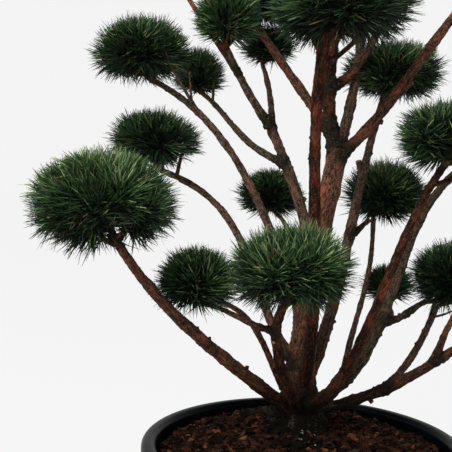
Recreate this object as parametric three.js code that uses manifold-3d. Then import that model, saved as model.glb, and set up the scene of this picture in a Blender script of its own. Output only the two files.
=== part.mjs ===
// Potted Watereri Scots pine, clipped into cloud pads, in a black nursery pot.
// Millimetres, +Z up, origin at the middle of the pot's flat underside.
import * as THREE from 'three';
import { mergeVertices } from 'three/addons/utils/BufferGeometryUtils.js';
import Module from 'manifold-3d';

const wasm = await Module();
wasm.setup();

// Clear gap between pieces that touch on the real plant
const GAP = 0.3;

// Pot
const POT_RADIUS = 250;
const POT_HEIGHT = 400;
const POT_FOOT_RADIUS = 196;
const POT_WALL = 4;
const POT_FLOOR = 6;
const WALL_TOP_RADIUS = 236;
const LIP_WIDTH = 22;
const LIP_DEPTH = 30;
const LIP_ROUND = 9;
const LIP_ROUND_STEPS = 3;
const LIP_EDGE_IN = 1.5;
const LIP_EDGE_UP = 3;
const POT_SEGMENTS = 36;

// Soil, mounded towards the root crown
const SOIL_EDGE_HEIGHT = 376;
const SOIL_MOUND_HEIGHT = 402;
const SOIL_MOUND_RADIUS = 78;
const SOIL_WALL_GAP = 0.6;

// Root crown and main trunk
const CROWN_X = -2;
const CROWN_Y = 80;
const TRUNK_GIRTH = [42, 31];
const FLARE_REACH = 31;
const FLARE_HEIGHT = 36;
const FLARE_LOBES = 5;
const FLARE_LOBE_DEPTH = 0.25;
const TRUNK_SIDES = 15;
const TRUNK_RINGS = 11;

// Limbs
const LIMB_SIDES = 8;
const THIN_LIMB_SIDES = 6;
const THIN_GIRTH = 17;
const LIMB_STEP = 66;
const LIMB_LEAST_STEPS = 3;
const COLLAR_SWELL = 0.22;
const COLLAR_LENGTH = 14;
const STUB_LEAN = 0.8;
const STUB_TAPER = 0.84;
const STUB_SIDES = 5;

// Needle pads, as shares of the pad's own half sizes
const PAD_RISE = 0.55;
const CORE_SHARE = 0.8;
const CORE_UNDER_SHARE = 0.62;
const CORE_ROUGHNESS = 0.05;
const SPACE_CLEAR = 1.02;

// The pad's stem and the twigs that fork from it, as shares of the stem
const STEM_SIDES = 5;
const STEM_RINGS = 2;
const STEM_TAPER = 0.5;
const STEM_TURN = 0.5;
const TWIG_SIDES = 3;
const TWIG_COUNT = 3;
const TWIG_GIRTH_SHARE = 0.5;
const TWIG_TAPER = 0.6;
const TWIG_FIRST = 0.08;
const TWIG_STEP = 0.1;
const TWIG_SPREAD = 0.5;
const TWIG_SPREAD_RANGE = 0.2;

// Needle sprays, each a three-toothed blade
const SPRAYS_PER_MM = 0.055;
const SPRAY_ROOT = 0.56;
const SPRAY_UNDER_ROOT = 0.39;
const SPRAY_REACH = 0.95;
const SPRAY_REACH_RANGE = 0.06;
const SPRAY_ROLL_RANGE = 2.4;
const SPRAY_WIDTH = 0.8;
const SPRAY_NOTCH = 0.72;
const SPRAY_SIDE_TOOTH = 0.93;
const SPRAY_RIDGE = 0.78;
const SPRAY_THICKNESS = 0.09;
const SPRAY_CLEAR = 1.5;
const LIMB_SAMPLES = 50;

// Every limb leaves its parent at a share of the parent's length and ends at
// heading (degrees from +X towards +Y), reach and rise from there. Its two
// bows give how far it bulges [up, left] at its first and second third.
const limbs = [
  {
    name: 'trunk', heading: 338, reach: 48, rise: 450, bows: [[18, -14], [11, -1]],
    girth: TRUNK_GIRTH,
  },
  {
    name: 'leader', from: 'trunk', at: 0.98, heading: 197, reach: 42, rise: 365,
    bows: [[1, -93], [69, -17]], girth: [20, 12],
    pad: { name: 'needles_crown', width: 200, height: 130, out: [0, 0, 58] },
  },
  {
    name: 'stem_right', from: 'trunk', at: 0.06, heading: 323, reach: 230, rise: 403,
    bows: [[-136, -150], [32, 42]], girth: [17, 11],
    pad: { name: 'needles_right', width: 168, height: 104, out: [-3, -10, 38] },
  },
  {
    name: 'stem_rear', from: 'trunk', at: 0.1, heading: 38, reach: 174, rise: 503,
    bows: [[-59, 13], [-45, 60]], girth: [24, 11],
    pad: { name: 'needles_back_high', width: 190, height: 110, out: [12, -1, 30] },
  },
  {
    name: 'bough_low_left', from: 'trunk', at: 0.02, heading: 215, reach: 335, rise: 295,
    bows: [[-8, 22], [-38, 6]], girth: [23, 13],
    pad: { name: 'needles_low_left', width: 226, height: 155, out: [-21, -15, 56] },
  },
  {
    name: 'stem_front', from: 'trunk', at: 0.08, heading: 273, reach: 112, rise: 562,
    bows: [[-65, 25], [32, -13]], girth: [20, 16],
    pad: { name: 'needles_crown_front', width: 230, height: 148, depth: 200, out: [20, -22, 50] },
  },
  {
    name: 'stem_left', from: 'trunk', at: 0.48, heading: 137, reach: 100, rise: 274,
    bows: [[8, -46], [6, -15]], girth: [20, 15],
  },
  {
    name: 'stem_left_front', from: 'stem_left', at: 0.97, heading: 210, reach: 86, rise: 116,
    bows: [[-5, -4], [-4, -3]], girth: [14, 10],
    pad: { name: 'needles_left_front', width: 120, height: 120, out: [-3, -10, 46] },
  },
  {
    name: 'stem_left_rear', from: 'stem_left', at: 0.95, heading: 98, reach: 105, rise: 112,
    bows: [[6, -6], [4, -5]], girth: [11, 8],
    pad: { name: 'needles_left_rear', width: 108, height: 74, out: [12, 25, 34] },
  },
  {
    name: 'bough_high_right', from: 'trunk', at: 0.96, heading: 338, reach: 220, rise: 276,
    bows: [[-20, 10], [4, -42]], girth: [17, 12],
    pad: { name: 'needles_high_right', width: 172, height: 115, out: [15, -5, 52] },
  },
  {
    name: 'stem_top_rear', from: 'trunk', at: 0.97, heading: 74, reach: 202, rise: 326,
    bows: [[-8, -16], [-5, -18]], girth: [18, 12],
    pad: { name: 'needles_top_rear', width: 160, height: 105, out: [-2, 12, 48] },
  },
  {
    name: 'stem_top_right', from: 'leader', at: 0.28, heading: 8, reach: 158, rise: 185,
    bows: [[-46, 53], [49, -33]], girth: [15, 11],
    pad: { name: 'needles_top_right', width: 130, height: 100, out: [12, 2, 45] },
  },
  {
    name: 'stem_top_left', from: 'leader', at: 0.09, heading: 140, reach: 166, rise: 186,
    bows: [[-1, 3], [-5, -4]], girth: [17, 12],
    pad: { name: 'needles_top_left', width: 150, height: 108, out: [13, 2, 30] },
  },
  {
    name: 'bough_mid_left', from: 'trunk', at: 0.2, heading: 159, reach: 251, rise: 310,
    bows: [[-7, 38], [66, -130]], girth: [16, 10],
    pad: { name: 'needles_mid_left', width: 172, height: 104, out: [-18, 0, 50] },
  },
  {
    name: 'bough_high_left', from: 'trunk', at: 0.37, heading: 151, reach: 310, rise: 391,
    bows: [[-10, -88], [86, -40]], girth: [16, 10],
    pad: { name: 'needles_high_left', width: 190, height: 133, out: [-15, -2, 41] },
  },
  {
    name: 'branch_left_rear', from: 'stem_left', at: 0.74, heading: 128, reach: 236, rise: 120,
    bows: [[-16, 32], [4, 0]], girth: [13, 8],
    pad: { name: 'needles_back_left', width: 105, height: 112, out: [-8, 20, 33] },
  },
  {
    name: 'bough_front', from: 'trunk', at: 0.05, heading: 257, reach: 183, rise: 204,
    bows: [[-56, 16], [-2, -46]], girth: [19, 12],
    pad: { name: 'needles_front', width: 200, height: 142, out: [7, -15, 48] },
  },
  {
    name: 'branch_front_left', from: 'bough_front', at: 0.8, heading: 162, reach: 119,
    rise: 31, bows: [[-6, 12], [6, -14]], girth: [9, 7],
    pad: { name: 'needles_front_left', width: 142, height: 116, out: [-6, 10, 28] },
  },
  {
    name: 'bough_low_right', from: 'trunk', at: 0.04, heading: 342, reach: 302, rise: 186,
    bows: [[-50, 65], [-29, 29]], girth: [19, 12],
    pad: { name: 'needles_low_right', width: 170, height: 105, out: [15, -15, 48] },
  },
  {
    name: 'branch_right_up', from: 'bough_low_right', at: 0.66, heading: 345, reach: 121,
    rise: 196, bows: [[36, -54], [19, 39]], girth: [10, 8],
    pad: { name: 'needles_right_upper', width: 140, height: 90, out: [6, -2, 40] },
  },
  {
    name: 'branch_right_back', from: 'bough_low_right', at: 0.38, heading: 41, reach: 250,
    rise: 306, bows: [[-39, -30], [25, 3]], girth: [12, 9],
    pad: { name: 'needles_right_back', width: 118, height: 80, out: [8, 10, 36] },
  },
  {
    name: 'stem_right_rear', from: 'stem_right', at: 0.06, heading: 11, reach: 287, rise: 414,
    bows: [[-55, -102], [60, 122]], girth: [20, 12],
    pad: { name: 'needles_far_right', width: 188, height: 118, out: [30, 0, 52] },
  },
  {
    name: 'branch_right', from: 'stem_right_rear', at: 0.35, heading: 37, reach: 141,
    rise: 17, bows: [[-9, -21], [27, 9]], girth: [11, 8],
    pad: { name: 'needles_right_mid', width: 186, height: 128, depth: 158, out: [25, -12, 46] },
  },
  {
    name: 'branch_right_inner', from: 'branch_right', at: 0.39, heading: 94, reach: 128,
    rise: -11, bows: [[-33, 33], [-18, -8]], girth: [8, 6],
    pad: { name: 'needles_right_inner', width: 98, height: 70, out: [1, 14, 32] },
  },
  {
    name: 'stem_rear_thin', from: 'stem_right_rear', at: 0.12, heading: 71, reach: 221,
    rise: 246, bows: [[29, -2], [-66, -10]], girth: [10, 8],
    pad: { name: 'needles_back', width: 166, height: 124, out: [22, 16, 40] },
  },
  {
    name: 'branch_rear_right', from: 'stem_rear', at: 0.53, heading: 39, reach: 49,
    rise: 27, bows: [[-2, -4], [1, 2]], girth: [10, 8],
  },
  {
    name: 'stem_centre_rear', from: 'trunk', at: 0.31, heading: 103, reach: 183, rise: 189,
    bows: [[-28, 0], [42, -30]], girth: [11, 7],
    pad: { name: 'needles_centre_rear', width: 138, height: 94, out: [-10, 24, 31] },
  },
  {
    name: 'bough_low_rear', from: 'trunk', at: 0.18, heading: 91, reach: 190, rise: 106,
    bows: [[-22, -12], [-12, -8]], girth: [16, 10],
    pad: { name: 'needles_low_rear', width: 160, height: 100, out: [-2, 24, 46] },
  },
  {
    name: 'bough_low_rear_left', from: 'trunk', at: 0.06, heading: 164, reach: 153, rise: 166,
    bows: [[-14, -8], [62, -14]], girth: [12, 8],
    pad: { name: 'needles_low_rear_left', width: 100, height: 70, out: [-14, 10, 32] },
  },
  {
    name: 'branch_top_left', from: 'stem_left_front', at: 0.72, heading: 165, reach: 128,
    rise: 180, bows: [[-4, 12], [-3, -11]], girth: [8, 7],
    pad: { name: 'needles_far_top_left', width: 160, height: 105, out: [-10, 0, 48] },
  },
];

// Cut limbs left by pruning: girth in mm, at a share of the limb, turned
// about it by an angle in degrees
const stubs = [
  { on: 'stem_front', at: 0.86, turn: 110, length: 24, girth: 10 },
  { on: 'bough_front', at: 0.5, turn: 95, length: 16, girth: 6 },
  { on: 'stem_rear', at: 0.66, turn: 290, length: 20, girth: 11 },
];

// Colours
const bark = { color: 0x4f3529, roughness: 0.9, metalness: 0 };
const needle = { color: 0x2c4a38, roughness: 0.7, metalness: 0 };
const plastic = { color: 0x1d2126, roughness: 0.45, metalness: 0 };
const mulch = { color: 0x3f271b, roughness: 0.95, metalness: 0 };

function seededRandom(seed) {
  const [multiplier, increment, modulus] = [1664525, 1013904223, 2 ** 32];
  let state = seed;
  return () => {
    state = (state * multiplier + increment) % modulus;
    return state / modulus;
  };
}

function radians(degrees) {
  return THREE.MathUtils.degToRad(degrees);
}

// Joining and cutting

function solidOf(geometry) {
  const bare = new THREE.BufferGeometry();
  bare.setAttribute('position', geometry.getAttribute('position').clone());
  bare.setIndex(geometry.getIndex());
  const merged = mergeVertices(bare, 1e-3);
  const triVerts = [];
  const index = merged.getIndex();
  for (let i = 0; i < index.count; i += 3) {
    const corner = [index.getX(i), index.getX(i + 1), index.getX(i + 2)];
    if (new Set(corner).size === 3) triVerts.push(...corner);
  }
  return new wasm.Manifold(new wasm.Mesh({
    numProp: 3,
    vertProperties: Float32Array.from(merged.getAttribute('position').array),
    triVerts: Uint32Array.from(triVerts),
  }));
}

function signedVolume(positions, triangles) {
  const [a, b, c] = [new THREE.Vector3(), new THREE.Vector3(), new THREE.Vector3()];
  let volume = 0;
  for (const [i, j, k] of triangles) {
    a.fromArray(positions, i * 3);
    b.fromArray(positions, j * 3);
    c.fromArray(positions, k * 3);
    volume += a.dot(b.cross(c)) / 6;
  }
  return volume;
}

// The largest closed body, without loose scraps or sealed hollows
function mainBody(solid) {
  const mesh = solid.getMesh();
  const group = Array.from({ length: mesh.vertProperties.length / 3 }, (_, i) => i);
  const find = (i) => {
    let top = i;
    while (group[top] !== top) top = group[top];
    group[i] = top;
    return top;
  };
  for (let i = 0; i < mesh.triVerts.length; i += 3) {
    group[find(mesh.triVerts[i])] = find(mesh.triVerts[i + 1]);
    group[find(mesh.triVerts[i + 1])] = find(mesh.triVerts[i + 2]);
  }
  const bodies = new Map();
  for (let i = 0; i < mesh.triVerts.length; i += 3) {
    const key = find(mesh.triVerts[i]);
    if (!bodies.has(key)) bodies.set(key, []);
    bodies.get(key).push([mesh.triVerts[i], mesh.triVerts[i + 1], mesh.triVerts[i + 2]]);
  }
  const sized = [...bodies.values()].map((triangles) => ({
    triangles,
    volume: signedVolume(mesh.vertProperties, triangles),
  }));
  sized.sort((one, other) => other.volume - one.volume);
  const body = new THREE.BufferGeometry();
  body.setAttribute('position', new THREE.BufferAttribute(mesh.vertProperties.slice(), 3));
  body.setIndex(sized[0].triangles.flat());
  return body;
}

// Limbs

function limbCurve(limb, foot) {
  const heading = radians(limb.heading);
  const chord = new THREE.Vector3(
    limb.reach * Math.cos(heading),
    limb.reach * Math.sin(heading),
    limb.rise,
  );
  const left = new THREE.Vector3(-Math.sin(heading), Math.cos(heading), 0);
  const up = chord.clone().normalize().cross(left);
  const control = limb.bows.map(([rise, side], i) => foot.clone()
    .addScaledVector(chord, (i + 1) / 3)
    .addScaledVector(up, rise)
    .addScaledVector(left, side));
  const tip = foot.clone().add(chord);
  const curve = new THREE.CubicBezierCurve3(foot, control[0], control[1], tip);
  return { curve, left, length: chord.length() };
}

function limbRadius(limb, share) {
  const [foot, tip] = limb.girth;
  const taper = THREE.MathUtils.lerp(foot, tip, share) / 2;
  if (limb.name === 'trunk') return taper;
  const swell = Math.exp(-share * limb.path.length / COLLAR_LENGTH);
  return taper * (1 + COLLAR_SWELL * swell);
}

function flare(height, angle) {
  const lobes = 1 + FLARE_LOBE_DEPTH * Math.cos(FLARE_LOBES * angle);
  return FLARE_REACH * lobes * Math.exp(-height / FLARE_HEIGHT);
}

// A cylinder bent along a curve, with a radius for each share of its length
function sweptGeometry({ curve, left, radiusAt, sides, steps, level }, grow) {
  const geometry = new THREE.CylinderGeometry(1, 1, 1, sides, steps);
  const position = geometry.getAttribute('position');
  const vertical = new THREE.Vector3(0, 0, 1);
  for (let i = 0; i < position.count; i += 1) {
    const ring = position.getY(i) + 0.5;
    const share = level ? ring ** 2 : ring;
    const along = level ? vertical : curve.getTangent(share);
    const side = left.clone().addScaledVector(along, -left.dot(along)).normalize();
    const third = side.clone().cross(along);
    const angle = Math.atan2(position.getX(i), position.getZ(i));
    const spread = Math.hypot(position.getX(i), position.getZ(i));
    const point = curve.getPoint(share);
    const radius = spread * (radiusAt(share, angle, point) + grow);
    point.addScaledVector(side, radius * Math.sin(angle));
    point.addScaledVector(third, radius * Math.cos(angle));
    if (ring === 0) point.addScaledVector(along, -grow);
    if (ring === 1) point.addScaledVector(along, grow);
    position.setXYZ(i, point.x, point.y, point.z);
  }
  return geometry;
}

function limbGeometry(limb, grow) {
  const { curve, left, length } = limb.path;
  if (limb.name === 'trunk') {
    return sweptGeometry({
      curve,
      left,
      radiusAt: (share, angle, point) => limbRadius(limb, share)
        + flare(point.z - SOIL_MOUND_HEIGHT, angle),
      sides: TRUNK_SIDES,
      steps: TRUNK_RINGS,
      level: true,
    }, grow);
  }
  return sweptGeometry({
    curve,
    left,
    radiusAt: (share) => limbRadius(limb, share),
    sides: limb.girth[0] < THIN_GIRTH ? THIN_LIMB_SIDES : LIMB_SIDES,
    steps: Math.max(LIMB_LEAST_STEPS, Math.round(length / LIMB_STEP)),
  }, grow);
}

function straightRod(from, to, radii, sides) {
  const rod = new THREE.CylinderGeometry(radii[1], radii[0], from.distanceTo(to), sides, 1);
  const turn = new THREE.Quaternion().setFromUnitVectors(
    new THREE.Vector3(0, 1, 0),
    to.clone().sub(from).normalize(),
  );
  const middle = from.clone().add(to).multiplyScalar(0.5);
  rod.applyQuaternion(turn);
  rod.translate(middle.x, middle.y, middle.z);
  return rod;
}

function stubGeometry(stub, limb) {
  const { curve, left } = limb.path;
  const along = curve.getTangent(stub.at);
  const side = left.clone().addScaledVector(along, -left.dot(along)).normalize();
  const third = side.clone().cross(along);
  const turn = radians(stub.turn);
  const out = side.multiplyScalar(Math.cos(turn)).addScaledVector(third, Math.sin(turn));
  out.addScaledVector(along, STUB_LEAN).normalize();
  const from = curve.getPoint(stub.at);
  const reach = stub.length + limbRadius(limb, stub.at);
  const to = from.clone().addScaledVector(out, reach);
  const radius = stub.girth / 2;
  return straightRod(from, to, [radius, radius * STUB_TAPER], STUB_SIDES);
}

function boxesMeet(one, other) {
  return new THREE.Box3().setFromBufferAttribute(one.getAttribute('position'))
    .intersectsBox(new THREE.Box3().setFromBufferAttribute(other.getAttribute('position')));
}

const byName = new Map();

for (const limb of limbs) {
  const parent = byName.get(limb.from);
  const foot = parent
    ? parent.path.curve.getPoint(limb.at)
    : new THREE.Vector3(CROWN_X, CROWN_Y, SOIL_MOUND_HEIGHT + GAP);
  limb.path = limbCurve(limb, foot);
  limb.swept = limbGeometry(limb, 0);
  limb.room = limbGeometry(limb, GAP);
  byName.set(limb.name, limb);
}

limbs.forEach((limb, order) => {
  let solid = solidOf(limb.swept);
  for (const stub of stubs.filter((one) => one.on === limb.name)) {
    solid = solid.add(solidOf(stubGeometry(stub, limb)));
  }
  for (const earlier of limbs.slice(0, order)) {
    if (boxesMeet(limb.swept, earlier.room)) solid = solid.subtract(solidOf(earlier.room));
  }
  limb.geometry = mainBody(solid);
});

// Needle pads

function padSpace(limb) {
  const { pad } = limb;
  const tip = limb.path.curve.getPoint(1);
  const centre = tip.clone().add(
    new THREE.Vector3(pad.out[0], pad.out[1], pad.out[2]),
  );
  return {
    limb,
    tip,
    centre,
    half: new THREE.Vector3(pad.width / 2, (pad.depth ?? pad.width) / 2, pad.height),
  };
}

// The point of the pad's outline in a direction from its centre
function outline(space, direction, share, underShare = share) {
  const rise = direction.z > 0 ? PAD_RISE * share : (1 - PAD_RISE) * underShare;
  return space.centre.clone().add(new THREE.Vector3(
    direction.x * space.half.x * share,
    direction.y * space.half.y * share,
    direction.z * space.half.z * rise,
  ));
}

function insideShare(space, point) {
  const from = point.clone().sub(space.centre);
  const rise = from.z > 0 ? PAD_RISE : 1 - PAD_RISE;
  return Math.hypot(
    from.x / space.half.x,
    from.y / space.half.y,
    from.z / (space.half.z * rise),
  );
}

function coreGeometry(space, random) {
  const core = mergeVertices(new THREE.IcosahedronGeometry(1, 1).deleteAttribute('uv')
    .deleteAttribute('normal'));
  const position = core.getAttribute('position');
  for (let i = 0; i < position.count; i += 1) {
    const direction = new THREE.Vector3().fromBufferAttribute(position, i);
    const rough = 1 + CORE_ROUGHNESS * (2 * random() - 1);
    const point = outline(space, direction, CORE_SHARE * rough, CORE_UNDER_SHARE * rough);
    position.setXYZ(i, point.x, point.y, point.z);
  }
  return core;
}

// A thin blade with three teeth: both faces rise to a ridge at its middle
function sprayGeometry(root, tip, roll) {
  const length = root.distanceTo(tip);
  const along = tip.clone().sub(root).normalize();
  const anySide = Math.abs(along.z) < 0.9
    ? new THREE.Vector3(0, 0, 1)
    : new THREE.Vector3(1, 0, 0);
  const across = along.clone().cross(anySide).normalize().applyAxisAngle(along, roll);
  const through = across.clone().cross(along);
  const rim = [
    [0, 0],
    [SPRAY_SIDE_TOOTH, SPRAY_WIDTH / 2],
    [SPRAY_NOTCH, SPRAY_WIDTH / 5],
    [1, 0],
    [SPRAY_NOTCH, -SPRAY_WIDTH / 5],
    [SPRAY_SIDE_TOOTH, -SPRAY_WIDTH / 2],
  ];
  const flat = new THREE.SphereGeometry(1, rim.length, 2);
  const position = flat.getAttribute('position');
  const turns = flat.getAttribute('uv');
  for (let i = 0; i < position.count; i += 1) {
    const onRim = Math.abs(position.getY(i)) < 0.5;
    const [forward, sideways] = onRim
      ? rim[Math.round(turns.getX(i) * rim.length) % rim.length]
      : [SPRAY_RIDGE, 0];
    const raised = onRim ? 0 : Math.sign(position.getY(i)) * SPRAY_THICKNESS / 2;
    const point = root.clone()
      .addScaledVector(along, forward * length)
      .addScaledVector(across, sideways * length)
      .addScaledVector(through, raised * length);
    position.setXYZ(i, point.x, point.y, point.z);
  }
  return flat;
}

function touchesLimb(points) {
  for (const limb of limbs) {
    for (let i = 0; i <= LIMB_SAMPLES; i += 1) {
      const share = i / LIMB_SAMPLES;
      const axis = limb.path.curve.getPoint(share);
      const clear = limbRadius(limb, share) + SPRAY_CLEAR;
      if (points.some((point) => point.distanceTo(axis) < clear)) return true;
    }
  }
  return false;
}

// The stem goes on from the bough's tip and turns up to the pad's middle
function stemCurve(space) {
  const along = space.limb.path.curve.getTangent(1);
  const foot = space.tip.clone().addScaledVector(along, GAP);
  const turn = foot.distanceTo(space.centre) * STEM_TURN;
  const elbow = foot.clone().addScaledVector(along, turn);
  return new THREE.QuadraticBezierCurve3(foot, elbow, space.centre);
}

function stemGeometry(space, curve, radius) {
  return sweptGeometry({
    curve,
    left: space.limb.path.left,
    radiusAt: (share) => radius * (1 - STEM_TAPER * share),
    sides: STEM_SIDES,
    steps: STEM_RINGS,
  }, 0);
}

function padGeometry(space, others, random) {
  const { limb } = space;
  const radius = limbRadius(limb, 1);
  const stem = stemCurve(space);
  let solid = solidOf(coreGeometry(space, random));
  solid = solid.add(solidOf(stemGeometry(space, stem, radius)));
  const start = random() * Math.PI * 2;
  for (let i = 0; i < TWIG_COUNT; i += 1) {
    const angle = start + (i + 0.5 * random()) * Math.PI * 2 / TWIG_COUNT;
    const out = new THREE.Vector3(Math.cos(angle), Math.sin(angle), 0);
    const fork = stem.getPoint(TWIG_FIRST + i * TWIG_STEP);
    const end = outline(space, out, TWIG_SPREAD + TWIG_SPREAD_RANGE * random());
    const thick = radius * TWIG_GIRTH_SHARE;
    const twig = straightRod(fork, end, [thick, thick * TWIG_TAPER], TWIG_SIDES);
    solid = solid.add(solidOf(twig));
  }
  const count = Math.round(limb.pad.width * SPRAYS_PER_MM);
  const golden = Math.PI * (3 - Math.sqrt(5));
  for (let i = 0; i < count; i += 1) {
    const height = 1 - 2 * (i + 0.5) / count;
    const angle = start + i * golden;
    const flat = Math.sqrt(1 - height * height);
    const direction = new THREE.Vector3(
      flat * Math.cos(angle),
      flat * Math.sin(angle),
      height,
    );
    const reach = SPRAY_REACH + SPRAY_REACH_RANGE * random();
    const root = outline(space, direction, SPRAY_ROOT, SPRAY_UNDER_ROOT);
    const end = outline(space, direction, reach);
    const roll = (random() - 0.5) * SPRAY_ROLL_RANGE;
    const blade = sprayGeometry(root, end, roll);
    const position = blade.getAttribute('position');
    const corners = [];
    for (let k = 0; k < position.count; k += 1) {
      corners.push(new THREE.Vector3().fromBufferAttribute(position, k));
    }
    corners.push(root.clone().lerp(end, 0.5), root.clone().lerp(end, 0.75));
    const strays = others.some((other) => corners
      .some((corner) => insideShare(other, corner) < SPACE_CLEAR));
    if (strays || touchesLimb(corners)) continue;
    solid = solid.add(solidOf(blade));
  }
  const whole = mainBody(solid);
  for (const other of limbs) {
    if (boxesMeet(whole, other.room)) solid = solid.subtract(solidOf(other.room));
  }
  return mainBody(solid);
}

// Pot and soil

function arc(centreX, centreY, radius, fromDegrees, toDegrees) {
  return Array.from({ length: LIP_ROUND_STEPS + 1 }, (_, i) => {
    const share = i / LIP_ROUND_STEPS;
    const angle = radians(THREE.MathUtils.lerp(fromDegrees, toDegrees, share));
    return new THREE.Vector2(
      centreX + radius * Math.cos(angle),
      centreY + radius * Math.sin(angle),
    );
  });
}

function potGeometry() {
  const lipInner = POT_RADIUS - LIP_WIDTH;
  const profile = [
    new THREE.Vector2(0, 0),
    new THREE.Vector2(POT_FOOT_RADIUS, 0),
    new THREE.Vector2(WALL_TOP_RADIUS, POT_HEIGHT - LIP_DEPTH),
    new THREE.Vector2(POT_RADIUS - LIP_EDGE_IN, POT_HEIGHT - LIP_DEPTH),
    new THREE.Vector2(POT_RADIUS, POT_HEIGHT - LIP_DEPTH + LIP_EDGE_UP),
    ...arc(POT_RADIUS - LIP_ROUND, POT_HEIGHT - LIP_ROUND, LIP_ROUND, 0, 90),
    ...arc(lipInner + LIP_ROUND, POT_HEIGHT - LIP_ROUND, LIP_ROUND, 90, 180),
    new THREE.Vector2(POT_FOOT_RADIUS - POT_WALL, POT_FLOOR),
    new THREE.Vector2(0, POT_FLOOR),
  ];
  return new THREE.LatheGeometry(profile, POT_SEGMENTS).rotateX(Math.PI / 2);
}

// A full pot of soil whose mound is carried over to the root crown
function soilGeometry() {
  const innerTop = POT_RADIUS - LIP_WIDTH;
  const innerFoot = POT_FOOT_RADIUS - POT_WALL;
  const wallTop = POT_HEIGHT - LIP_ROUND;
  const share = (SOIL_EDGE_HEIGHT - POT_FLOOR) / (wallTop - POT_FLOOR);
  const edge = THREE.MathUtils.lerp(innerFoot, innerTop, share);
  const profile = [
    new THREE.Vector2(0, POT_FLOOR + GAP),
    new THREE.Vector2(innerFoot - SOIL_WALL_GAP, POT_FLOOR + GAP),
    new THREE.Vector2(edge - SOIL_WALL_GAP, SOIL_EDGE_HEIGHT),
    new THREE.Vector2(SOIL_MOUND_RADIUS, SOIL_MOUND_HEIGHT),
    new THREE.Vector2(0, SOIL_MOUND_HEIGHT),
  ];
  const soil = new THREE.LatheGeometry(profile, POT_SEGMENTS).rotateX(Math.PI / 2);
  const position = soil.getAttribute('position');
  const halfway = (SOIL_EDGE_HEIGHT + SOIL_MOUND_HEIGHT) / 2;
  for (let i = 0; i < position.count; i += 1) {
    if (position.getZ(i) > halfway) {
      position.setX(i, position.getX(i) + CROWN_X);
      position.setY(i, position.getY(i) + CROWN_Y);
    }
  }
  return soil;
}

// The whole plant

const plant = new THREE.Group();

function place(name, geometry, look) {
  const mesh = new THREE.Mesh(geometry, new THREE.MeshStandardMaterial(look));
  mesh.name = name;
  plant.add(mesh);
}

place('pot', mainBody(solidOf(potGeometry())), plastic);
place('soil', mainBody(solidOf(soilGeometry())), mulch);
limbs.forEach((limb) => place(limb.name, limb.geometry, bark));

const spaces = limbs.filter((limb) => limb.pad).map(padSpace);
spaces.forEach((space, order) => {
  const others = spaces.filter((other) => other !== space);
  const geometry = padGeometry(space, others, seededRandom(order + 1));
  place(space.limb.pad.name, geometry, needle);
});

export default plant;
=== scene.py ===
# Potted Watereri Scots pine, clipped into cloud pads, in a black nursery pot.
# Metres, +Z up, origin at the middle of the pot's flat underside.
import math

import bpy
import numpy as np
from mathutils import Matrix, Vector, noise


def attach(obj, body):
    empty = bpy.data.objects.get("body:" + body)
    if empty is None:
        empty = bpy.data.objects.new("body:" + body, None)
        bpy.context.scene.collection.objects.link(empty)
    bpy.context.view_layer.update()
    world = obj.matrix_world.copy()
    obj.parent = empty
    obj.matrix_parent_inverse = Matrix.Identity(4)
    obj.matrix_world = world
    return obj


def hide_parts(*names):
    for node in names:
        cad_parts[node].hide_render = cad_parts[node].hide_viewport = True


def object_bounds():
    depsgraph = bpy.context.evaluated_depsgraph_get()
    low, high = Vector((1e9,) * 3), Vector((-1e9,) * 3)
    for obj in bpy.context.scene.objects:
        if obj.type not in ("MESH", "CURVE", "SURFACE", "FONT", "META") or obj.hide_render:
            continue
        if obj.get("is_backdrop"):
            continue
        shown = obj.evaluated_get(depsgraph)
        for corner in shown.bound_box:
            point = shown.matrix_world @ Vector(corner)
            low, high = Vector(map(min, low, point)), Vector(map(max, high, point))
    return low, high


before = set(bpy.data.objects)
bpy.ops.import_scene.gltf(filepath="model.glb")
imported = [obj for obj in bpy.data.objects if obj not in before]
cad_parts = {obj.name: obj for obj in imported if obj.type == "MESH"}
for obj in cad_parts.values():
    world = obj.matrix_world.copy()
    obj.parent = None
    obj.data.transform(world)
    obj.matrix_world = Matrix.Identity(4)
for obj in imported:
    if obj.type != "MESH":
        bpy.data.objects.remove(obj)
solid_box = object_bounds()
bpy.ops.object.select_all(action="DESELECT")


# Trunk, stems and boughs
# Living wood under thin scaly bark: dark brown plates that flake off to show
# orange-red new bark. Each limb is a flat strip rolled into a tapering tube.

MM = 0.001
CLOSE = 1e-5
ROOT_CROWN = np.array([-0.002, 0.080, 0.4023])
FLARE_REACH = 0.031
FLARE_HEIGHT = 0.036
FLARE_LOBES = 5
FLARE_LOBE_DEPTH = 0.25
COLLAR_SWELL = 0.22
COLLAR_LENGTH = 0.014
BARK_RING = 0.0024
BARK_FACET = 0.0024
LEAST_SIDES = 10
LEAST_RINGS = 4
GIRTH_AT = 0.3
LENGTH_SAMPLES = 20
FOOT_CROWDING = 1.6
PATTERN_STEP = np.array([0.37, 0.61, 0.13])
PLATE_WIDTH = 0.006
PLATE_LENGTH = 0.016
PLATE_RISE = 0.0008
FULL_PLATE_RADIUS = 0.008
CRACK_SLOPE = 3.0
CRACK_DEPTH = 0.6
FLAKE_RISE = 1.1
KNOT_SPACING = 0.085
KNOT_RISE = 0.12
KNOT_SHARPNESS = 14
WAVER_SCALE = 26
WAVER_RISE = 0.07
NUB_SPACING = 0.015
NUB_SHARE = 0.2
NUB_RISE = 0.0030
ROUGH_SCALE = 170
ROUGH_RISE = 0.0007
FORK_RISE = 0.26
FORK_THICK = 0.011
FORK_GNARL = 2.2
FOOT_FORK = (0.025, 0.05)
FORK_SIZE = (0.8, 0.006)
COLLAR_FORK = 0.016
MOSS_AND_SHADE_TOP = 0.47
DAMP_AND_SHADE_TOP = 0.72

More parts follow.
